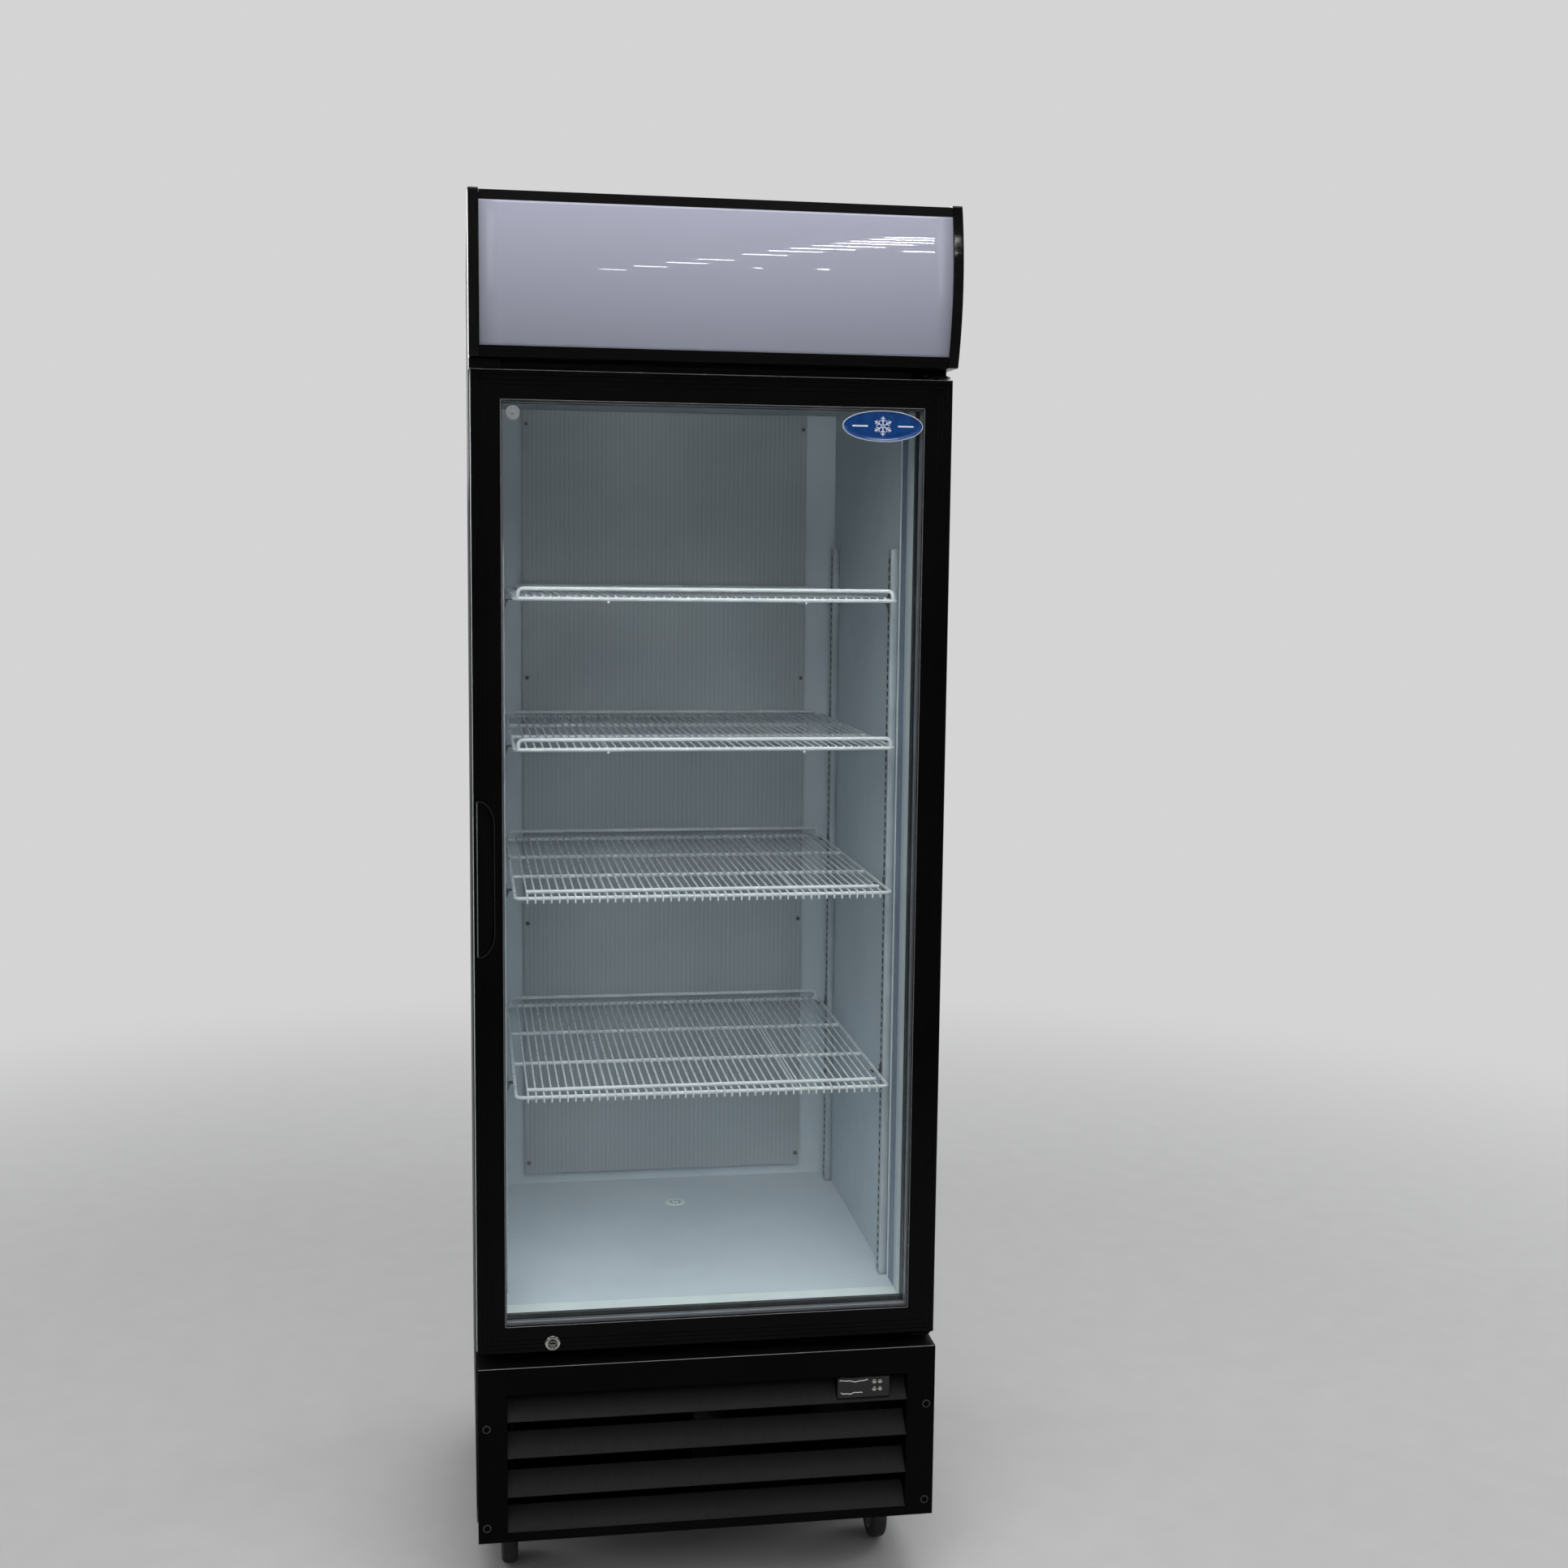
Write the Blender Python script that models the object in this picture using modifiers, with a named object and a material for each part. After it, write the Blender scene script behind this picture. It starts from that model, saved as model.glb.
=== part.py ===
"""Glass door merchandiser: an upright display refrigerator with one swing door.

Units are metres and +Z is up. The door faces -Y, and the origin is on the floor,
under the middle of the cabinet. Every sub-part is one named object.
"""
from math import cos, hypot, pi, radians, sin

import bmesh
import bpy
from mathutils import Matrix, Vector

for old in list(bpy.data.objects):
    bpy.data.objects.remove(old, do_unlink=True)

# ---------------------------------------------------------------- driving sizes
HALF_WIDTH = 0.343
FRONT_Y = -0.400
BACK_Y = 0.400
HEIGHT = 2.062
CLEAR = 0.0003
SHEET = 0.001

DOOR_FACE_Y = -0.359
DOOR_THICK = 0.040
DOOR_HALF = 0.3408
DOOR_BOTTOM = 0.4092
DOOR_TOP = 1.8233
CASE_FRONT_Y = DOOR_FACE_Y + 0.050
CASE_BOTTOM = 0.1270
CASE_TOP = 2.052
DECK_TOP = 0.3947

HINGE_X = 0.321
HINGE_Y = -0.341
PIN_RADIUS = 0.004

ROOM_HALF = 0.304
ROOM_FLOOR = 0.437
ROOM_CEILING = 1.816
ROOM_TOP = 2.000
ROOM_BACK_Y = 0.341
THROAT_TOP = 1.798
SILL_TOP = 0.445

SHELF_HEIGHTS = (1.5069, 1.2882, 1.0696, 0.7707)
SHELF_HALF = 0.2835
SHELF_FRONT_Y = -0.284
SHELF_BACK_Y = 0.318
SHELF_WIRE = 0.006

HEADER_BOTTOM = 1.8385
CAP_WIDTH = 0.0145

GRILLE_FRONT_Y = -0.3727
GRILLE_TOP = 0.3931
GRILLE_HALF = 0.341
SLAT_EDGES = (0.3102, 0.2543, 0.1948, 0.1404)

LOCK_X = -0.2317
LOCK_Z = 0.4228
CAM_REACH = 0.024
CAM_TAIL = 0.0052
CAM_HALF_WIDTH = 0.0045

WHEEL_RADIUS = 0.050
WHEEL_STEPS = 32
CASTER_TRAIL = 0.034
CASTER_X = 0.292
CASTER_FRONT_Y = -0.215
CASTER_REAR_Y = 0.300

# ------------------------------------------------------------------ collections
parts = bpy.data.collections.new("glass_door_merchandiser")
cutters = bpy.data.collections.new("cutters")
for collection in (parts, cutters):
    bpy.context.scene.collection.children.link(collection)


# -------------------------------------------------------------------- materials
def material(name, colour, roughness, metallic=0.0, alpha=1.0):
    """A Principled material from one colour, roughness and metallic value."""
    mat = bpy.data.materials.new(name)
    mat.use_nodes = True
    shader = mat.node_tree.nodes["Principled BSDF"]
    shader.inputs["Base Color"].default_value = (*colour, 1.0)
    shader.inputs["Roughness"].default_value = roughness
    shader.inputs["Metallic"].default_value = metallic
    shader.inputs["Alpha"].default_value = alpha
    return mat


BLACK_PAINT = ((0.012, 0.012, 0.013), 0.35)
BLACK_PLASTIC = ((0.010, 0.010, 0.011), 0.25)
SLAT_PAINT = ((0.020, 0.020, 0.021), 0.55)
LINER_WHITE = ((0.56, 0.61, 0.62), 0.45)
WIRE_WHITE = ((0.75, 0.78, 0.80), 0.35)
GALVANISED = ((0.55, 0.56, 0.57), 0.40, 0.9)
CHROME = ((0.72, 0.71, 0.69), 0.15, 1.0)
ALUMINIUM = ((0.62, 0.63, 0.64), 0.35, 0.9)
RUBBER = ((0.015, 0.015, 0.015), 0.75)
FOAM = ((0.80, 0.72, 0.50), 0.90)
GLASS = ((0.80, 0.88, 0.86), 0.03, 0.0, 0.3)
LENS = ((0.46, 0.47, 0.62), 0.20)
TUBE_WHITE = ((0.90, 0.90, 0.92), 0.30)
BADGE_BLUE = ((0.01, 0.10, 0.36), 0.30)


# ---------------------------------------------------------------- building tools
def place(name, mesh, look, at=(0, 0, 0)):
    """Link one named part whose mesh is already in its own axes."""
    obj = bpy.data.objects.new(name, mesh)
    obj.location = at
    if look is None:
        cutters.objects.link(obj)
        obj.hide_render = True
        obj.display_type = "WIRE"
    else:
        parts.objects.link(obj)
        mesh.materials.clear()
        mesh.materials.append(material(name, *look))
    return obj


def box(name, low, high, look, origin=None):
    """A block between two corners; its origin is its middle unless one is given."""
    low, high = Vector(low), Vector(high)
    middle = (low + high) / 2
    origin = middle if origin is None else Vector(origin)
    bm = bmesh.new()
    bmesh.ops.create_cube(bm, size=1.0)
    bmesh.ops.scale(bm, vec=high - low, verts=bm.verts)
    bmesh.ops.translate(bm, vec=middle - origin, verts=bm.verts)
    mesh = bpy.data.meshes.new(name)
    bm.to_mesh(mesh)
    bm.free()
    return place(name, mesh, look, origin)


AXES = {
    "X": Matrix(((0, 0, 1), (1, 0, 0), (0, 1, 0))).to_4x4(),
    "Y": Matrix(((1, 0, 0), (0, 0, -1), (0, 1, 0))).to_4x4(),
    "Z": Matrix.Identity(4),
}


def rod(name, radius, start, length, axis, look, segments=24, end_radius=None):
    """A cylinder or cone from a point along +X, -Y or +Z."""
    bm = bmesh.new()
    bmesh.ops.create_cone(
        bm, cap_ends=True, segments=segments, depth=length,
        radius1=radius, radius2=radius if end_radius is None else end_radius)
    bmesh.ops.translate(bm, vec=(0, 0, length / 2), verts=bm.verts)
    bmesh.ops.transform(bm, matrix=AXES[axis], verts=bm.verts)
    mesh = bpy.data.meshes.new(name)
    bm.to_mesh(mesh)
    bm.free()
    mesh.shade_smooth()
    mesh.set_sharp_from_angle(angle=radians(40))
    return place(name, mesh, look, start)


def prism(name, outline, low, high, axis, look, holes=(), origin=(0, 0, 0)):
    """A flat outline, with holes, extruded along an axis between two coordinates.

    The outline is (x, y) for axis Z, (x, z) for axis Y and (y, z) for axis X.
    """
    curve = bpy.data.curves.new(name, "CURVE")
    curve.dimensions = "2D"
    curve.fill_mode = "BOTH"
    curve.extrude = (high - low) / 2
    for ring in (outline, *holes):
        spline = curve.splines.new("POLY")
        spline.points.add(len(ring) - 1)
        for point, (u, v) in zip(spline.points, ring):
            point.co = (u, v, 0, 1)
        spline.use_cyclic_u = True
    guide = bpy.data.objects.new(name + "_outline", curve)
    cutters.objects.link(guide)
    graph = bpy.context.evaluated_depsgraph_get()
    mesh = bpy.data.meshes.new_from_object(guide.evaluated_get(graph))
    bpy.data.objects.remove(guide, do_unlink=True)
    bpy.data.curves.remove(curve)
    middle = (low + high) / 2
    lift = {"X": (middle, 0, 0), "Y": (0, middle, 0), "Z": (0, 0, middle)}[axis]
    bm = bmesh.new()
    bm.from_mesh(mesh)
    bmesh.ops.remove_doubles(bm, verts=bm.verts, dist=1e-6)
    bmesh.ops.transform(bm, matrix=AXES[axis], verts=bm.verts)
    bmesh.ops.translate(bm, vec=Vector(lift) - Vector(origin), verts=bm.verts)
    bmesh.ops.recalc_face_normals(bm, faces=bm.faces)
    bm.to_mesh(mesh)
    bm.free()
    mesh.name = name
    return place(name, mesh, look, origin)


def turned(name, profile, at, axis, look, steps=28, first_angle=0.0):
    """A profile of (radius, height), outer side downwards, turned about an axis."""
    mesh = bpy.data.meshes.new(name)
    bm = bmesh.new()
    across, along = cos(first_angle), sin(first_angle)
    verts = [bm.verts.new((r * across, r * along, height)) for r, height in profile]
    for first, second in zip(verts, verts[1:]):
        bm.edges.new((first, second))
    if profile[0][0] > 0:
        bm.edges.new((verts[-1], verts[0]))
    bm.to_mesh(mesh)
    bm.free()
    obj = place(name, mesh, look, at)
    obj.rotation_euler = AXES[axis].to_euler()
    screw = obj.modifiers.new("turn", "SCREW")
    screw.steps = steps
    screw.render_steps = steps
    screw.use_merge_vertices = True
    screw.merge_threshold = 1e-5
    screw.use_smooth_shade = True
    return obj


def rectangle(u0, v0, u1, v1):
    return [(u0, v0), (u1, v0), (u1, v1), (u0, v1)]


def arc(centre, radius_u, radius_v, start, end, steps):
    """Points along an ellipse arc, with its angles in degrees."""
    angles = [radians(start + (end - start) * i / steps) for i in range(steps + 1)]
    return [(centre[0] + radius_u * cos(a), centre[1] + radius_v * sin(a)) for a in angles]


def combine(target, operation, *tools):
    """Cut the tools away from the target, or join them to it."""
    for tool in tools:
        step = target.modifiers.new(operation.lower(), "BOOLEAN")
        step.operation = operation
        step.solver = "EXACT"
        step.object = tool
    return target


def cut(target, *tools):
    return combine(target, "DIFFERENCE", *tools)


def join(target, *tools):
    return combine(target, "UNION", *tools)


def repeat(obj, count, step):
    """Copies of a cutter along one direction."""
    array = obj.modifiers.new("row", "ARRAY")
    array.count = count
    array.use_relative_offset = False
    array.use_constant_offset = True
    array.constant_offset_displace = step


def pivot(name, at):
    """An empty on a joint axis."""
    empty = bpy.data.objects.new(name, None)
    empty.location = at
    empty.empty_display_size = 0.05
    parts.objects.link(empty)
    return empty


def attach(parent, *children):
    """Parent pieces without moving them."""
    for child in children:
        child.parent = parent
        child.matrix_parent_inverse = Matrix.Translation(parent.location).inverted()


# ---------------------------------------------------------------------- cabinet
def room_outline(grow, front_y):
    """Side outline of the cold room: a front throat, and a taller fan space behind."""
    return [
        (front_y, ROOM_FLOOR - grow),
        (ROOM_BACK_Y + grow, ROOM_FLOOR - grow),
        (ROOM_BACK_Y + grow, ROOM_TOP + grow),
        (-0.239 - grow, ROOM_TOP + grow),
        (-0.239 - grow, ROOM_CEILING + 0.002 + grow),
        (front_y, ROOM_CEILING + 0.002 + grow),
    ]


def build_cabinet():
    side_in = HALF_WIDTH - SHEET
    prism(
        "outer_case",
        [
            (-HALF_WIDTH, CASE_BOTTOM + CLEAR), (-side_in, CASE_BOTTOM + CLEAR),
            (-side_in, DECK_TOP - SHEET), (side_in, DECK_TOP - SHEET),
            (side_in, CASE_BOTTOM + CLEAR), (HALF_WIDTH, CASE_BOTTOM + CLEAR),
            (HALF_WIDTH, CASE_TOP), (-HALF_WIDTH, CASE_TOP),
        ],
        CASE_FRONT_Y + CLEAR, BACK_Y - SHEET - CLEAR, "Y", BLACK_PAINT,
        holes=[rectangle(-side_in, DECK_TOP, side_in, CASE_TOP - SHEET)])
    box(
        "rear_panel",
        (-HALF_WIDTH, BACK_Y - SHEET, DECK_TOP + CLEAR),
        (HALF_WIDTH, BACK_Y, CASE_TOP), GALVANISED)

    foam_front = CASE_FRONT_Y + 0.0105
    inner = side_in - CLEAR
    foam = box(
        "insulation_foam",
        (-inner, foam_front, DECK_TOP + CLEAR),
        (inner, BACK_Y - SHEET - CLEAR, CASE_TOP - SHEET - CLEAR), FOAM)
    hollow = prism(
        "foam_hollow", room_outline(SHEET + CLEAR, foam_front - 0.01),
        -ROOM_HALF - SHEET - CLEAR, ROOM_HALF + SHEET + CLEAR, "X", None)
    cut(foam, hollow)

    liner = prism(
        "inner_liner", room_outline(SHEET, foam_front),
        -ROOM_HALF - SHEET, ROOM_HALF + SHEET, "X", LINER_WHITE)
    space = prism(
        "liner_hollow", room_outline(0, foam_front - 0.01), -ROOM_HALF, ROOM_HALF, "X", None)
    cut(liner, space)

    prism(
        "breaker_frame",
        rectangle(-inner, DECK_TOP + CLEAR, inner, HEADER_BOTTOM - CLEAR),
        CASE_FRONT_Y, foam_front - CLEAR, "Y", LINER_WHITE,
        holes=[rectangle(-ROOM_HALF, SILL_TOP, ROOM_HALF, THROAT_TOP)])

    strip_low = DOOR_TOP + 0.0012
    strip_high = HEADER_BOTTOM - CLEAR
    strip = box(
        "top_trim_strip", (-0.320, -0.332, strip_low),
        (0.285, CASE_FRONT_Y - CLEAR, strip_high), BLACK_PLASTIC)
    corner = box(
        "corner_cap_block", (-HALF_WIDTH, -0.357, strip_low),
        (-0.300, CASE_FRONT_Y - CLEAR, strip_high), None)
    join(strip, corner)


def build_cold_room():
    panel_front = ROOM_BACK_Y - 0.011
    wall = ROOM_BACK_Y - CLEAR
    prism(
        "air_duct_panel",
        [
            (-0.250, panel_front), (0.250, panel_front), (0.250, wall), (0.249, wall),
            (0.249, panel_front + SHEET), (-0.249, panel_front + SHEET),
            (-0.249, wall), (-0.250, wall),
        ],
        0.458, ROOM_CEILING - CLEAR, "Z", LINER_WHITE)

    cover = prism(
        "evaporator_cover",
        [
            (-0.230, ROOM_CEILING), (0.338, ROOM_CEILING), (0.338, ROOM_CEILING + SHEET),
            (-0.229, ROOM_CEILING + SHEET), (-0.229, 1.900), (-0.230, 1.900),
        ],
        -ROOM_HALF + CLEAR, ROOM_HALF - CLEAR, "X", LINER_WHITE)
    fan_y = -0.110
    cut(cover, rod("fan_opening", 0.080, (0, fan_y, 1.800), 0.030, "Z", None))

    build_fins("evaporator_coil", (-0.250, 0.120, 1.860), (0.250, 0.220, 1.980), 20)

    motor = turned(
        "evaporator_fan_motor",
        [(0, 0.050), (0.022, 0.050), (0.028, 0.044), (0.028, 0.006), (0.024, 0), (0, 0)],
        (0, fan_y, 1.868), "Z", BLACK_PLASTIC)
    bridge = prism(
        "fan_bridge",
        [
            (-0.100, 1.8173), (-0.098, 1.8173), (-0.098, 1.878), (0.098, 1.878),
            (0.098, 1.8173), (0.100, 1.8173), (0.100, 1.880), (-0.100, 1.880),
        ],
        fan_y - 0.012, fan_y + 0.012, "Y", None)
    join(motor, bridge)
    build_fan("evaporator_fan_blade", (0, fan_y, 1.845), "Z", 0.072, 0.018)

    box(
        "interior_light", (-0.240, -0.264, ROOM_CEILING - 0.014),
        (0.240, -0.244, ROOM_CEILING + 0.0005), TUBE_WHITE)


def build_fins(name, low, high, count):
    """A finned block: a comb outline whose teeth are the fins."""
    x0, y0, z0 = low
    x1, y1, z1 = high
    pitch = (x1 - x0) / count
    spine = z0 + 0.2 * (z1 - z0)
    outline = [(x0, z0), (x1, z0)]
    for i in range(count):
        right = x1 - i * pitch
        left = right - 0.35 * pitch
        outline += [(right, z1), (left, z1)]
        if i < count - 1:
            outline += [(left, spine), (right - pitch, spine)]
    last = outline[-1][0]
    outline += [(last, spine), (x0, spine)]
    prism(name, outline, y0, y1, "Y", ALUMINIUM)


def build_fan(name, at, axis, radius, hub_radius):
    """A hub with four pitched blades."""
    hub = rod(name, hub_radius, at, 0.016, axis, BLACK_PLASTIC, segments=16)
    for i in range(4):
        blade = prism(
            f"{name}_blade_{i}",
            [
                (hub_radius * 0.7, -0.30 * radius), (radius * 0.97, -0.42 * radius),
                (radius, 0.30 * radius), (hub_radius * 0.7, 0.22 * radius),
            ],
            -0.0008, 0.0008, "Z", None)
        tilt = Matrix.Rotation(radians(24), 4, "X")
        spin = Matrix.Rotation(radians(45 + 90 * i), 4, "Z")
        lift = Matrix.Translation((0, 0, 0.008))
        blade.matrix_world = Matrix.Translation(at) @ AXES[axis] @ spin @ lift @ tilt
        join(hub, blade)


PILASTER_OUT = 0.0117


def build_pilasters():
    """Four upright channels on the side walls, each with four hooked shelf rests."""
    deep = 0.022
    for side, sign in (("left", -1), ("right", 1)):
        for end, front in (("front", -0.189), ("rear", 0.286)):
            wall = sign * (ROOM_HALF - CLEAR)
            face = sign * (ROOM_HALF - CLEAR - PILASTER_OUT)
            inset = face + sign * 0.0012
            channel = prism(
                f"pilaster_{end}_{side}",
                [
                    (face, front), (wall, front), (wall, front + 0.0012),
                    (inset, front + 0.0012), (inset, front + deep - 0.0012),
                    (wall, front + deep - 0.0012), (wall, front + deep), (face, front + deep),
                ],
                ROOM_FLOOR + CLEAR, 1.583, "Z", GALVANISED)
            for number, height in enumerate(SHELF_HEIGHTS, 1):
                top = height - SHELF_WIRE / 2 - CLEAR
                inner_x = sign * (SHELF_HALF - 0.007)
                outer_x = face + sign * 0.0006
                rest = box(
                    f"rest_{end}_{side}_{number}",
                    (min(inner_x, outer_x), front + 0.005, top - 0.010),
                    (max(inner_x, outer_x), front + deep - 0.005, top), None)
                join(channel, rest)


def build_shelves():
    """Wire shelves: a frame, two cross wires and deck wires, with one raised lip."""
    wire = SHELF_WIRE
    bays = 3
    slots = 14
    deck_wire = 0.004
    clear_x = 2 * (SHELF_HALF - wire)
    clear_y = SHELF_BACK_Y - SHELF_FRONT_Y - 2 * wire
    bay_length = (clear_y - (bays - 1) * wire) / bays
    slot_width = (clear_x - (slots - 1) * deck_wire) / slots
    corner = (wire - SHELF_HALF, SHELF_FRONT_Y + wire)
    slot = box(
        "shelf_slots", (*corner, min(SHELF_HEIGHTS) - 0.050),
        (corner[0] + slot_width, corner[1] + bay_length, max(SHELF_HEIGHTS) + 0.050), None)
    repeat(slot, slots, (slot_width + deck_wire, 0, 0))
    repeat(slot, bays, (0, bay_length + wire, 0))
    for number, height in enumerate(SHELF_HEIGHTS, 1):
        shelf = box(
            f"shelf_{number}", (-SHELF_HALF, SHELF_FRONT_Y, height - wire / 2),
            (SHELF_HALF, SHELF_BACK_Y, height + wire / 2), WIRE_WHITE)
        cut(shelf, slot)
        lip_y = SHELF_FRONT_Y if number <= 2 else SHELF_BACK_Y - wire
        low = height - wire / 2 + 0.001
        high = height + 0.0175
        reach = SHELF_HALF - 0.006
        thin = wire * 0.8
        lip = prism(
            f"shelf_lip_{number}",
            [
                (-reach, low), (-reach, high - 0.004), (-reach + 0.004, high),
                (reach - 0.004, high), (reach, high - 0.004), (reach, low),
                (reach - wire, low), (reach - wire, high - wire),
                (-reach + wire, high - wire), (-reach + wire, low),
            ],
            lip_y + (wire - thin) / 2, lip_y + (wire + thin) / 2, "Y", None)
        join(shelf, lip)


# ----------------------------------------------------------------------- header
def bow(z):
    """Front Y of the header's bowed face: a circle through three heights."""
    (y1, z1), (y2, z2), (y3, z3) = (-0.379, HEADER_BOTTOM), (FRONT_Y, 1.952), (-0.385, 2.060)
    d = 2 * (y1 * (z2 - z3) + y2 * (z3 - z1) + y3 * (z1 - z2))
    s1, s2, s3 = y1 * y1 + z1 * z1, y2 * y2 + z2 * z2, y3 * y3 + z3 * z3
    cy = (s1 * (z2 - z3) + s2 * (z3 - z1) + s3 * (z1 - z2)) / d
    cz = (s1 * (y3 - y2) + s2 * (y1 - y3) + s3 * (y2 - y1)) / d
    radius = hypot(y1 - cy, z1 - cz)
    return cy - (radius * radius - (z - cz) ** 2) ** 0.5


def bow_points(low, high, inset, steps):
    heights = [low + (high - low) * i / steps for i in range(steps + 1)]
    return [(bow(z) + inset, z) for z in heights]


def build_header():
    back = CASE_FRONT_Y - CLEAR
    cap_in = HALF_WIDTH - CAP_WIDTH
    rail_half = cap_in - CLEAR
    rail_low = (HEADER_BOTTOM, 1.8535)
    rail_high = (2.0455, 2.0595)
    for side, sign in (("left", -1), ("right", 1)):
        inner = sign * cap_in
        outer = sign * HALF_WIDTH
        prism(
            f"header_end_cap_{side}",
            [(back, HEADER_BOTTOM), *bow_points(HEADER_BOTTOM, HEIGHT - 0.004, 0.0, 14),
             (bow(HEIGHT - 0.004) + 0.004, HEIGHT), (back, HEIGHT)],
            min(inner, outer), max(inner, outer), "X", BLACK_PLASTIC)

    def behind_face(z, depth):
        return (bow(z) + depth, z)

    lens_in = 0.0040
    lens_thick = 0.0020
    slot = 0.006
    slot_front = lens_in - CLEAR - 0.0002
    slot_rear = lens_in + lens_thick + CLEAR + 0.0002
    bottom_of_slot = rail_low[1] - slot
    top_of_slot = rail_high[0] + slot
    rail_proud = 0.002
    prism(
        "header_housing",
        [
            (back, rail_low[0]),
            behind_face(rail_low[0], rail_proud),
            behind_face(rail_low[1], rail_proud),
            behind_face(rail_low[1], slot_front),
            behind_face(bottom_of_slot, slot_front),
            behind_face(bottom_of_slot, slot_rear),
            behind_face(rail_low[1], slot_rear),
            behind_face(rail_low[1], slot_rear + 0.003),
            (back - 0.0012, rail_low[1]),
            (back - 0.0012, rail_high[0]),
            behind_face(rail_high[0], slot_rear + 0.003),
            behind_face(rail_high[0], slot_rear),
            behind_face(top_of_slot, slot_rear),
            behind_face(top_of_slot, slot_front),
            behind_face(rail_high[0], slot_front),
            behind_face(rail_high[0], rail_proud),
            behind_face(rail_high[1], rail_proud),
            (back, rail_high[1]),
        ],
        -rail_half, rail_half, "X", BLACK_PAINT)

    lens_low = bottom_of_slot + 0.0012
    lens_high = top_of_slot - 0.0012
    front = bow_points(lens_low, lens_high, lens_in, 14)
    rear = bow_points(lens_low, lens_high, lens_in + lens_thick, 14)
    prism("header_lens", [*front, *reversed(rear)], -rail_half, rail_half, "X", LENS)

    tube = rod("header_light_tube", 0.008, (-0.300, -0.350, 1.950), 0.600, "X", TUBE_WHITE, 16)
    for i, x in enumerate((-0.297, 0.283)):
        holder = box(
            f"tube_holder_{i}", (x, -0.350, 1.940), (x + 0.014, back - 0.0015, 1.960), None)
        join(tube, holder)


# ------------------------------------------------------------------------- door
POCKET_DEPTH = 0.0325
PANE = 0.004
OUTER_PANE_AT = 0.004
INNER_PANE_AT = 0.024
SIGHT = 0.0405
TUNNEL = 0.043


def rail_profile():
    """Door rail section as (distance in from the edge, depth behind the face)."""
    front = [(0.0, DOOR_THICK), (0.0, 0.0015), (0.0015, 0.0)]
    for groove in (0.0066, 0.0132, 0.0196):
        front += [(groove, 0.0), (groove + 0.0006, 0.0006), (groove + 0.0012, 0.0)]
    front += [(SIGHT, 0.0), (SIGHT + 0.0012, OUTER_PANE_AT - CLEAR)]
    pocket = [
        (POCKET_DEPTH, OUTER_PANE_AT - CLEAR),
        (POCKET_DEPTH, INNER_PANE_AT + PANE + CLEAR),
        (TUNNEL, INNER_PANE_AT + PANE + CLEAR),
        (TUNNEL, DOOR_THICK),
    ]
    return front + pocket


def door_rail(name, length, outward, along, start):
    """One rail, extruded from the profile and mitred at both ends.

    outward points from the glass to the door's edge, along runs down the rail,
    and start is the door's corner where the rail begins.
    """
    rail = prism(name, rail_profile(), 0, length, "Z", BLACK_PAINT)
    mesh = rail.data
    bm = bmesh.new()
    bm.from_mesh(mesh)
    mitre_gap = CLEAR / 2
    for at, direction in ((mitre_gap, -1), (length - mitre_gap, 1)):
        geometry = [*bm.verts, *bm.edges, *bm.faces]
        plane_normal = Vector((1, 0, direction)).normalized()
        bmesh.ops.bisect_plane(
            bm, geom=geometry, plane_co=(0, 0, at), plane_no=plane_normal, clear_outer=True)
        open_edges = [edge for edge in bm.edges if edge.is_boundary]
        bmesh.ops.contextual_create(bm, geom=open_edges)
    inward = -Vector(outward)
    frame = Matrix((inward, Vector((0, 1, 0)), Vector(along))).transposed().to_4x4()
    bmesh.ops.transform(bm, matrix=frame, verts=bm.verts)
    bmesh.ops.recalc_face_normals(bm, faces=bm.faces)
    bm.to_mesh(mesh)
    bm.free()
    rail.location = start
    return rail


def inset_rectangle(distance):
    """A rectangle this far inside the door's outer edges."""
    half = DOOR_HALF - distance
    return rectangle(-half, DOOR_BOTTOM + distance, half, DOOR_TOP - distance)


def handle_outline(grow):
    """D shape of the finger pull: straight outer edge, quarter-round inner corners."""
    left, right = -0.3368 - grow, -0.3108 + grow
    low, high = 0.9986 - grow, 1.2244 + grow
    corner_u, corner_v = right - left - 0.002, 0.036
    top = arc((right - corner_u, high - corner_v), corner_u, corner_v, 0, 90, 7)
    bottom = arc((right - corner_u, low + corner_v), corner_u, corner_v, -90, 0, 7)
    return [(left, low), *bottom, *top, (left, high)]


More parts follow.
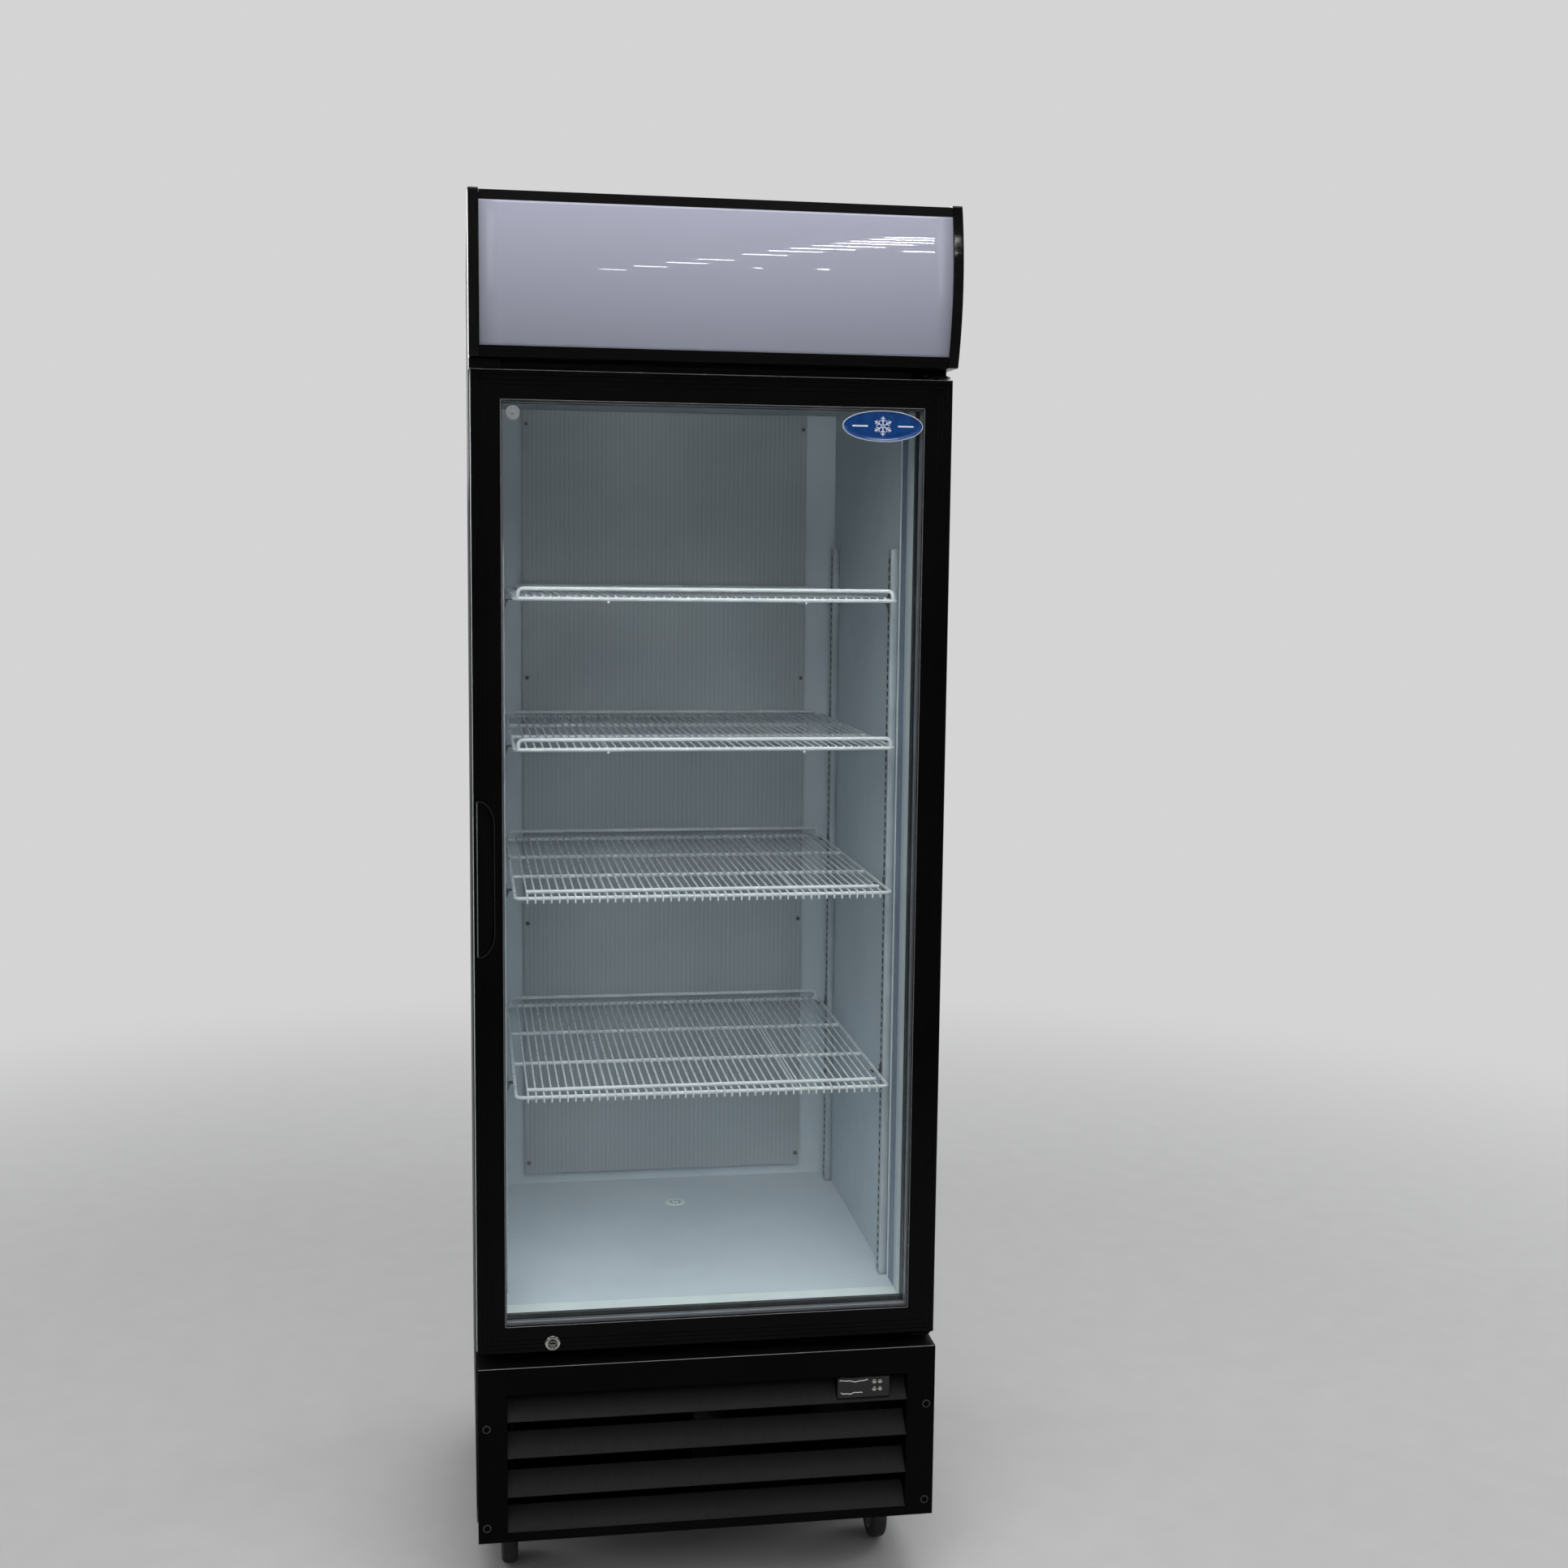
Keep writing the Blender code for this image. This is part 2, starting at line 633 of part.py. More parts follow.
def build_door():
    hinge = pivot("door_axis", (HINGE_X, HINGE_Y, DOOR_BOTTOM))
    width = 2 * DOOR_HALF
    height = DOOR_TOP - DOOR_BOTTOM
    face = DOOR_FACE_Y
    top = door_rail(
        "door_rail_top", width, (0, 0, 1), (1, 0, 0), (-DOOR_HALF, face, DOOR_TOP))
    bottom = door_rail(
        "door_rail_bottom", width, (0, 0, -1), (1, 0, 0), (-DOOR_HALF, face, DOOR_BOTTOM))
    left = door_rail(
        "door_stile_handle", height, (-1, 0, 0), (0, 0, 1), (-DOOR_HALF, face, DOOR_BOTTOM))
    right = door_rail(
        "door_stile_hinge", height, (1, 0, 0), (0, 0, 1), (DOOR_HALF, face, DOOR_BOTTOM))

    bore = PIN_RADIUS + 0.0008
    deep = 0.024
    for tag, rail, stile, low in (
            ("top", top, right, DOOR_TOP - deep), ("bottom", bottom, right, DOOR_BOTTOM - 0.002)):
        hole = rod(
            f"hinge_bore_{tag}", bore, (HINGE_X, HINGE_Y, low), deep + 0.002, "Z", None, 16)
        cut(rail, hole)
        cut(stile, hole)

    pocket_back = face + 0.020
    well = prism(
        "handle_well", handle_outline(CLEAR), face - 0.002, pocket_back, "Y", None)
    cut(left, well)
    cup = prism(
        "handle_cup", handle_outline(0), face, pocket_back - CLEAR, "Y", BLACK_PLASTIC)
    grip = prism(
        "handle_grip_space", handle_outline(-0.0016), face - 0.002,
        pocket_back - CLEAR - 0.0016, "Y", None)
    cut(cup, grip)

    pane_in = POCKET_DEPTH + CLEAR
    half = DOOR_HALF - pane_in
    low, high = DOOR_BOTTOM + pane_in, DOOR_TOP - pane_in
    outer = box(
        "glass_outer", (-half, face + OUTER_PANE_AT, low),
        (half, face + OUTER_PANE_AT + PANE, high), GLASS)
    inner = box(
        "glass_inner", (-half, face + INNER_PANE_AT, low),
        (half, face + INNER_PANE_AT + PANE, high), GLASS)
    spacer = prism(
        "glass_spacer", inset_rectangle(POCKET_DEPTH + 0.001), face + OUTER_PANE_AT + PANE + CLEAR,
        face + INNER_PANE_AT - CLEAR, "Y", ALUMINIUM, holes=[inset_rectangle(TUNNEL)])
    gasket = prism(
        "door_gasket", rectangle(-0.318, 0.4305, 0.318, 1.8120), face + DOOR_THICK + CLEAR,
        CASE_FRONT_Y - CLEAR, "Y", RUBBER, holes=[inset_rectangle(TUNNEL)])

    badge = prism(
        "badge", arc((0.2400, 1.7571), 0.0585, 0.0222, 0, 350, 35),
        face + OUTER_PANE_AT - CLEAR - 0.0014, face + OUTER_PANE_AT - CLEAR, "Y", BADGE_BLUE)

    barrel = 0.0085
    cut(bottom, rod(
        "lock_bore", barrel + CLEAR, (LOCK_X, face + DOOR_THICK + 0.005, LOCK_Z), 0.055, "Y",
        None))
    lock_back = face + DOOR_THICK - 0.001
    flange = -(face - CLEAR) + lock_back
    lock_body = turned(
        "lock_body",
        [
            (0.0064, flange + 0.0022), (0.0100, flange + 0.0022), (0.0115, flange + 0.0010),
            (0.0115, flange), (barrel, flange), (barrel, 0), (0.0064, 0),
        ],
        (LOCK_X, lock_back, LOCK_Z), "Y", CHROME)

    lock_pivot = pivot("lock_axis", (LOCK_X, face, LOCK_Z))
    plug_back = face + DOOR_THICK + CLEAR
    plug = rod(
        "lock_plug", 0.0060, (LOCK_X, plug_back, LOCK_Z), plug_back - face + 0.0018, "Y", CHROME)
    cam = box(
        "lock_cam_plate", (LOCK_X - CAM_REACH, plug_back - 0.0001, LOCK_Z - CAM_HALF_WIDTH),
        (LOCK_X + CAM_TAIL, plug_back + 0.0025, LOCK_Z + CAM_HALF_WIDTH), None)
    keyway = box(
        "lock_keyway", (LOCK_X - 0.0036, face - 0.004, LOCK_Z - 0.0006),
        (LOCK_X + 0.0036, face + 0.004, LOCK_Z + 0.0006), None)
    join(plug, cam)
    cut(plug, keyway)

    attach(
        hinge, top, bottom, left, right, cup, outer, inner, spacer, gasket, badge,
        lock_body, lock_pivot)
    attach(lock_pivot, plug)
    lock_pivot.matrix_parent_inverse = Matrix.Translation(hinge.location).inverted()


def build_hinges():
    """Bracket plates on the cabinet front, each with a pin in the door."""
    back = CASE_FRONT_Y - CLEAR
    for name, plate_low, pin_low, pin_high, tab in (
            ("hinge_top", DOOR_TOP + 0.003, DOOR_TOP - 0.020, DOOR_TOP + 0.004, 0.009),
            ("hinge_bottom", DOOR_BOTTOM - 0.006, DOOR_BOTTOM - 0.004, DOOR_BOTTOM + 0.018, -0.007)):
        plate_high = plate_low + 0.003
        bracket = prism(
            name,
            [(0.290, back), (0.290, back - 0.010), (0.308, -0.354), (0.334, -0.354),
             (0.340, -0.345), (0.340, back)],
            plate_low, plate_high, "Z", BLACK_PAINT)
        edge = plate_high if tab > 0 else plate_low
        flange = box(
            f"{name}_flange", (0.288, back - 0.003, min(plate_low, edge + tab)),
            (0.341, back, max(plate_high, edge + tab)), None)
        pin = rod(
            f"{name}_pin", PIN_RADIUS, (HINGE_X, HINGE_Y, pin_low), pin_high - pin_low, "Z",
            None, 16)
        join(bracket, flange, pin)


# ------------------------------------------------------------------------- base
def build_base():
    pan_half = HALF_WIDTH - SHEET - CLEAR
    rim = 0.0015
    pan = prism(
        "base_pan",
        [
            (-pan_half, CASE_BOTTOM), (pan_half, CASE_BOTTOM), (pan_half, 0.150),
            (pan_half - rim, 0.150), (pan_half - rim, CASE_BOTTOM + rim),
            (-pan_half + rim, CASE_BOTTOM + rim), (-pan_half + rim, 0.150), (-pan_half, 0.150),
        ],
        -0.3060, BACK_Y - SHEET - CLEAR, "Y", GALVANISED)
    for i, (x, y) in enumerate(caster_places()):
        plate = box(
            f"caster_plate_{i}", (x - 0.045, y - 0.050, 0.1235),
            (x + 0.045, y + 0.050, CASE_BOTTOM + 0.0005), None)
        join(pan, plate)

    build_grille()

    vents = []
    for column in (-0.160, 0.160):
        for row in range(6):
            z = 0.200 + 0.026 * row
            vents.append(rectangle(column - 0.110, z, column + 0.110, z + 0.010))
    socket = rectangle(0.2296, 0.1596, 0.2804, 0.1864)
    prism(
        "rear_cover", rectangle(-HALF_WIDTH, CASE_BOTTOM, HALF_WIDTH, DECK_TOP),
        BACK_Y - SHEET, BACK_Y, "Y", GALVANISED, holes=[*vents, socket])
    inlet = box(
        "power_inlet", (0.230, BACK_Y - 0.025, 0.160), (0.280, BACK_Y, 0.186), BLACK_PLASTIC)
    cut(inlet, box(
        "inlet_recess", (0.243, BACK_Y - 0.018, 0.165), (0.267, BACK_Y + 0.005, 0.181), None))


def build_grille():
    """A folded front pan whose opening holds four sloping louvre blades."""
    front = GRILLE_FRONT_Y
    thick = 0.0012
    overlap = 0.0006
    back = CASE_FRONT_Y - CLEAR
    low, high = CASE_BOTTOM - CLEAR, GRILLE_TOP
    open_half, open_low, open_high = 0.2985, 0.1396, 0.3516
    grille = box(
        "front_grille", (-GRILLE_HALF, front, low), (GRILLE_HALF, back, high), SLAT_PAINT)
    hollow = box(
        "grille_hollow", (thick - GRILLE_HALF, front + thick, low - 0.010),
        (GRILLE_HALF - thick, back + 0.010, high - thick), None)
    opening = box(
        "grille_opening", (-open_half - overlap, front - 0.010, open_low - overlap),
        (open_half + overlap, front + 0.010, open_high + overlap), None)
    cut(grille, hollow, opening)
    fold = prism(
        "opening_fold",
        rectangle(-open_half - thick, open_low - thick, open_half + thick, open_high + thick),
        front + 0.0003, front + 0.034, "Y", None,
        holes=[rectangle(-open_half, open_low, open_half, open_high)])
    join(grille, fold)
    for number, edge_z in enumerate(SLAT_EDGES, 1):
        blade = prism(
            f"louvre_blade_{number}",
            [
                (front + 0.0010, edge_z), (front + 0.0022, edge_z),
                (front + 0.0310, edge_z + 0.0288), (front + 0.0302, edge_z + 0.0296),
                (front + 0.0010, edge_z + 0.0012),
            ],
            -open_half - overlap, open_half + overlap, "X", None)
        if number == 1:
            cut(blade, box(
                "controller_notch", (0.1915, front - 0.01, 0.3158),
                (0.2725, front + 0.045, 0.3508), None))
        join(grille, blade)


def build_controller():
    front = GRILLE_FRONT_Y + 0.0012
    housing = box(
        "controller_housing", (0.192, front, 0.3165), (0.272, front + 0.036, 0.3500),
        BLACK_PLASTIC)
    bevel = housing.modifiers.new("rounding", "BEVEL")
    bevel.width = 0.002
    bevel.segments = 2
    number = 0
    for z in (0.3415, 0.3300):
        for x in (0.2480, 0.2568):
            number += 1
            seat = (x, front + 0.005, z)
            cut(housing, rod(f"button_seat_{number}", 0.0040, seat, 0.010, "Y", None, 16))
            turned(
                f"button_{number}",
                [(0, 0.0058), (0.0026, 0.0058), (0.0036, 0.0050), (0.0036, 0), (0, 0)],
                (x, front + 0.0042, z), "Y", CHROME, steps=16)


def build_refrigeration():
    floor = CASE_BOTTOM + 0.0015 + CLEAR
    pot = turned(
        "compressor",
        [
            (0, 0.190), (0.035, 0.186), (0.062, 0.172), (0.078, 0.148), (0.084, 0.120),
            (0.084, 0.060), (0.078, 0.036), (0.060, 0.018), (0, 0.012),
        ],
        (0.150, 0.140, floor), "Z", BLACK_PAINT)
    foot = box(
        "compressor_foot", (0.045, 0.065, floor), (0.255, 0.215, floor + 0.020), None)
    join(pot, foot)

    coil_x = -0.150
    build_fins(
        "condenser_coil", (coil_x - 0.150, -0.250, floor), (coil_x + 0.150, -0.190, 0.350), 16)

    fan_z = 0.242
    frame_y = -0.175
    frame = prism(
        "condenser_fan_frame", rectangle(coil_x - 0.150, floor, coil_x + 0.150, 0.350),
        frame_y, frame_y + 0.002, "Y", GALVANISED,
        holes=[arc((coil_x, fan_z), 0.098, 0.098, 0, 345, 23)])
    bar = prism(
        "motor_bar",
        [
            (coil_x - 0.110, frame_y + 0.001), (coil_x - 0.106, frame_y + 0.001),
            (coil_x - 0.106, frame_y + 0.066), (coil_x + 0.106, frame_y + 0.066),
            (coil_x + 0.106, frame_y + 0.001), (coil_x + 0.110, frame_y + 0.001),
            (coil_x + 0.110, frame_y + 0.070), (coil_x - 0.110, frame_y + 0.070),
        ],
        fan_z - 0.012, fan_z + 0.012, "Z", None)
    motor = rod(
        "motor_body", 0.036, (coil_x, frame_y + 0.125, fan_z), 0.075, "Y", None)
    join(frame, bar, motor)
    build_fan("condenser_fan_blade", (coil_x, frame_y + 0.044, fan_z), "Y", 0.088, 0.022)


# ---------------------------------------------------------------------- casters
def caster_places():
    return [(x, y) for y in (CASTER_FRONT_Y, CASTER_REAR_Y) for x in (-CASTER_X, CASTER_X)]


def build_casters():
    """Swivel forks and wheels; each fork turns on a vertical axis, each wheel on its axle."""
    names = ("front_left", "front_right", "rear_left", "rear_right")
    leg_in, leg_out = 0.0158, 0.0188
    axle_radius = 0.004
    for name, (x, y) in zip(names, caster_places()):
        swivel = pivot(f"caster_axis_{name}", (x, y, 0))
        fork = turned(
            f"caster_fork_{name}",
            [(0, 0.1232), (0.030, 0.1232), (0.031, 0.1150), (0.026, 0.1070), (0, 0.1070)],
            (x, y, 0), "Z", GALVANISED, steps=20)
        axle_y = y + CASTER_TRAIL
        leg_outline = [
            (y - 0.023, 0.1110), (y - 0.023, 0.1000), (axle_y - 0.0125, WHEEL_RADIUS),
            *arc((axle_y, WHEEL_RADIUS), 0.0125, 0.0125, 200, 340, 5),
            (axle_y + 0.0125, WHEEL_RADIUS), (y + 0.023, 0.1000), (y + 0.023, 0.1110),
        ]
        for side, sign in (("left", -1), ("right", 1)):
            edge = sorted((x + sign * leg_in, x + sign * leg_out))
            join(fork, prism(
                f"fork_leg_{name}_{side}", leg_outline, edge[0], edge[1], "X", None))
        axle = rod(
            f"axle_{name}", axle_radius, (x - leg_out - 0.004, axle_y, WHEEL_RADIUS),
            2 * leg_out + 0.008, "X", None, 12)
        join(fork, axle)

        # The tread is a polygon with a flat at the bottom, which touches the floor.
        bore = axle_radius + 0.0005
        tread = WHEEL_RADIUS / cos(pi / WHEEL_STEPS)
        wheel = turned(
            f"caster_wheel_{name}",
            [
                (bore, 0.0150), (0.014, 0.0150), (0.018, 0.0105), (tread - 0.004, 0.0120),
                (tread, 0.0080), (tread, -0.0080), (tread - 0.004, -0.0120),
                (0.018, -0.0105), (0.014, -0.0150), (bore, -0.0150),
            ],
            (x, axle_y, WHEEL_RADIUS), "X", RUBBER, WHEEL_STEPS, pi / WHEEL_STEPS)
        attach(swivel, fork, wheel)


build_cabinet()
build_cold_room()
build_pilasters()
build_shelves()
build_header()
build_door()
build_hinges()
build_base()
build_controller()
build_refrigeration()
build_casters()
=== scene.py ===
from math import cos, pi, radians, sin, tan

import bmesh
import bpy
from mathutils import Matrix, Vector


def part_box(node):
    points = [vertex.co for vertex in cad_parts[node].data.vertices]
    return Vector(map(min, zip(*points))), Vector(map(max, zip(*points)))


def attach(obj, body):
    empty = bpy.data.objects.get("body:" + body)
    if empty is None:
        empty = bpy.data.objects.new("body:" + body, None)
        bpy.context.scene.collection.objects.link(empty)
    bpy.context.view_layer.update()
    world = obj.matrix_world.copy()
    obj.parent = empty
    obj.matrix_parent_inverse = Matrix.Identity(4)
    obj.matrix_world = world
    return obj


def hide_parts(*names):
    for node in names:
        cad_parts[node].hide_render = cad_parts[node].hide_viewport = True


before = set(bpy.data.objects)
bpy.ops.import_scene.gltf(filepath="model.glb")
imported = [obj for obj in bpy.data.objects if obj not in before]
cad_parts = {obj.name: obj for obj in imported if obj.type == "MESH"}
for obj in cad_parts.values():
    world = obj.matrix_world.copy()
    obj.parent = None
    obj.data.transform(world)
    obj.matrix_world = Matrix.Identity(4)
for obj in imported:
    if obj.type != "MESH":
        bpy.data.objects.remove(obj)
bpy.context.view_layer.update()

scene = bpy.context.scene
scene.view_settings.view_transform = "Standard"

MM = 0.001
CABINET = "cabinet"
DOOR = "door"


# ------------------------------------------------------------------- places
def span(node):
    """A node's box as two corners."""
    low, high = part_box(node)
    return Vector(low), Vector(high)


GRILLE_LOW, GRILLE_HIGH = span("front_grille")
DOOR_LOW = span("door_rail_bottom")[0]
DOOR_HIGH = span("door_rail_top")[1]
LINER_LOW, LINER_HIGH = span("inner_liner")
PANEL_LOW = span("air_duct_panel")[0]
PANE_LOW = span("glass_outer")[0]
ROOM_FLOOR = LINER_LOW.z + 1.0 * MM
SLATS_HALF = 0.2984
SLATS_BOTTOM, SLATS_TOP = 0.1397, 0.3515
ROOM_HALF = LINER_HIGH.x - 1.0 * MM
DRAIN_AT = (0.0087, 0.2006)
PLUG_AT = (-0.2828, 1.7650)
DUCT_SCREW_X = (-0.242, 0.2435)
DUCT_SCREW_Z = (1.791, 1.353, 0.916, 0.478)
GRILLE_SCREW_X = (-0.3285, 0.3285)
GRILLE_SCREW_Z = (0.3020, 0.1500)
SILL_BACK_Y = -0.242
TRIM_BACK_Y = -0.264
BAND_FRONT_Y, BAND_BACK_Y = -0.240, -0.204


# ------------------------------------------------------------------- camera
CAMERA_AT = (-0.3572, -3.1536, 1.5808)
CAMERA_YAW, CAMERA_PITCH, CAMERA_ROLL = 0.1630, 0.1180, 0.0112
CAMERA_LENS = 45.369


def make_camera():
    """The eye-level view from a little left of the door."""
    forward = Vector((
        sin(CAMERA_YAW) * cos(CAMERA_PITCH), cos(CAMERA_YAW) * cos(CAMERA_PITCH),
        -sin(CAMERA_PITCH)))
    level = Vector((cos(CAMERA_YAW), -sin(CAMERA_YAW), 0))
    rise = level.cross(forward)
    right = cos(CAMERA_ROLL) * level + sin(CAMERA_ROLL) * rise
    up = cos(CAMERA_ROLL) * rise - sin(CAMERA_ROLL) * level
    data = bpy.data.cameras.new("view_camera")
    data.lens = CAMERA_LENS
    data.sensor_width = 36.0
    camera = bpy.data.objects.new("view_camera", data)
    turn = Matrix((right, up, -forward)).transposed().to_4x4()
    camera.matrix_world = Matrix.Translation(CAMERA_AT) @ turn
    scene.collection.objects.link(camera)
    scene.camera = camera


# ------------------------------------------------------------ stage and light
def area_light(name, at, aim, width, depth, power, tint=(1.0, 1.0, 1.0)):
    data = bpy.data.lights.new(name, "AREA")
    data.shape = "RECTANGLE"
    data.size, data.size_y = width, depth
    data.energy = power
    data.color = tint
    lamp = bpy.data.objects.new(name, data)
    lamp.location = at
    lamp.rotation_mode = "QUATERNION"
    lamp.rotation_quaternion = (Vector(aim) - Vector(at)).to_track_quat("-Z", "Y")
    scene.collection.objects.link(lamp)
    return lamp


def make_world():
    """A pale backdrop, with soft light mostly from behind, the sides and above."""
    world = bpy.data.worlds.new("studio")
    world.use_nodes = True
    nodes, links = world.node_tree.nodes, world.node_tree.links
    background = nodes["Background"]
    coords = nodes.new("ShaderNodeTexCoord")
    axes = nodes.new("ShaderNodeSeparateXYZ")
    links.new(coords.outputs["Generated"], axes.inputs[0])
    behind = nodes.new("ShaderNodeMapRange")
    behind.inputs["From Min"].default_value = -0.35
    behind.inputs["From Max"].default_value = 0.45
    links.new(axes.outputs["Y"], behind.inputs["Value"])
    glow = nodes.new("ShaderNodeMix")
    glow.data_type = "RGBA"
    glow.inputs["A"].default_value = (0.070, 0.073, 0.078, 1)
    glow.inputs["B"].default_value = (0.40, 0.41, 0.42, 1)
    links.new(behind.outputs["Result"], glow.inputs["Factor"])
    seen = nodes.new("ShaderNodeLightPath")
    shown = nodes.new("ShaderNodeMix")
    shown.data_type = "RGBA"
    shown.inputs["B"].default_value = (0.66, 0.66, 0.665, 1)
    links.new(seen.outputs["Is Camera Ray"], shown.inputs["Factor"])
    links.new(glow.outputs["Result"], shown.inputs["A"])
    links.new(shown.outputs["Result"], background.inputs["Color"])
    scene.world = world


def make_floor():
    """A pale round floor that fades into the backdrop at its rim."""
    bm = bmesh.new()
    bmesh.ops.create_circle(bm, cap_ends=True, radius=4.2, segments=96)
    mesh = bpy.data.meshes.new("studio_floor")
    bm.to_mesh(mesh)
    bm.free()
    floor = bpy.data.objects.new("studio_floor", mesh)
    scene.collection.objects.link(floor)
    look = Look("floor_pale", (0.38, 0.38, 0.376), 0.6)
    grain = look.noise(14, 6)
    look.colour(grain, (0.374, 0.374, 0.370), (0.388, 0.388, 0.384))
    look.bump(look.noise(160, 4), 0.3 * MM, 0.2)
    fade = look.node("ShaderNodeMapRange")
    fade.inputs["From Min"].default_value = 1.5
    fade.inputs["From Max"].default_value = 4.0
    fade.interpolation_type = "SMOOTHSTEP"
    length = look.node("ShaderNodeVectorMath")
    length.operation = "LENGTH"
    look.link(look.coords, length.inputs[0])
    look.link(length.outputs["Value"], fade.inputs["Value"])
    look.see_through(fade.outputs["Result"], (1, 1, 1), False)
    mesh.materials.append(look.material)


def make_lights():
    """High frontal fill for the interior, and dimmer soft boxes for the highlights."""
    target = (0.0, -0.2, 0.9)
    fills = (
        area_light("front_fill", (-0.3, -3.7, 3.1), target, 2.6, 1.6, 52, (1.0, 0.99, 0.98)),
        area_light("top_fill", (0.0, -2.3, 4.6), (0, -0.2, 0.6), 3.0, 2.0, 130),
    )
    door_fill = area_light("door_fill", (-0.15, -3.6, 2.1), (0, 0, 0.62), 1.0, 0.9, 0.5)
    door_fill.data.spread = radians(34)
    rise_fill = area_light("rise_fill", (-0.15, -3.4, 1.0), (0, 0.3, 1.90), 0.9, 0.6, 0.55)
    rise_fill.data.spread = radians(20)
    for lamp in (*fills, door_fill, rise_fill):
        lamp.visible_glossy = False
    area_light("edge_box", (0.0, -1.3, 4.9), (0, -0.3, 1.0), 3.0, 0.8, 45)
    area_light("left_box", (-2.9, -3.3, 2.9), target, 2.2, 2.4, 18, (1.0, 0.99, 0.97))
    area_light("right_box", (3.1, -3.1, 3.0), target, 2.0, 2.4, 18, (0.95, 0.98, 1.0))
    area_light("right_fill", (3.2, 1.6, 2.2), target, 1.6, 2.2, 30)
    area_light("left_fill", (-3.2, 1.9, 2.0), target, 1.4, 2.2, 30)
    area_light("back_fill", (0.4, 3.4, 2.6), target, 2.4, 1.8, 55)
    for number, (x, z, length) in enumerate(STREAKS):
        power = (0.12 + 0.22 * x) * length
        lamp = area_light(
            f"streak_{number}", (x, -3.0, z), (0.2, -0.4, 1.98), length, 0.015, power)
        lamp.data.spread = radians(60)


# Across, height and length of the ceiling tubes that the lens mirrors.
STREAKS = (
    (0.96, 3.36, 0.22), (0.92, 3.29, 0.24), (0.86, 3.21, 0.24), (0.80, 3.14, 0.22),
    (0.72, 3.05, 0.20), (0.64, 2.96, 0.18), (0.56, 2.87, 0.15), (0.47, 2.76, 0.12),
    (0.33, 2.60, 0.10), (0.25, 2.50, 0.11), (0.15, 2.39, 0.09), (0.05, 2.29, 0.07),
    (0.93, 2.98, 0.12), (0.62, 2.46, 0.03), (0.44, 2.44, 0.02),
)


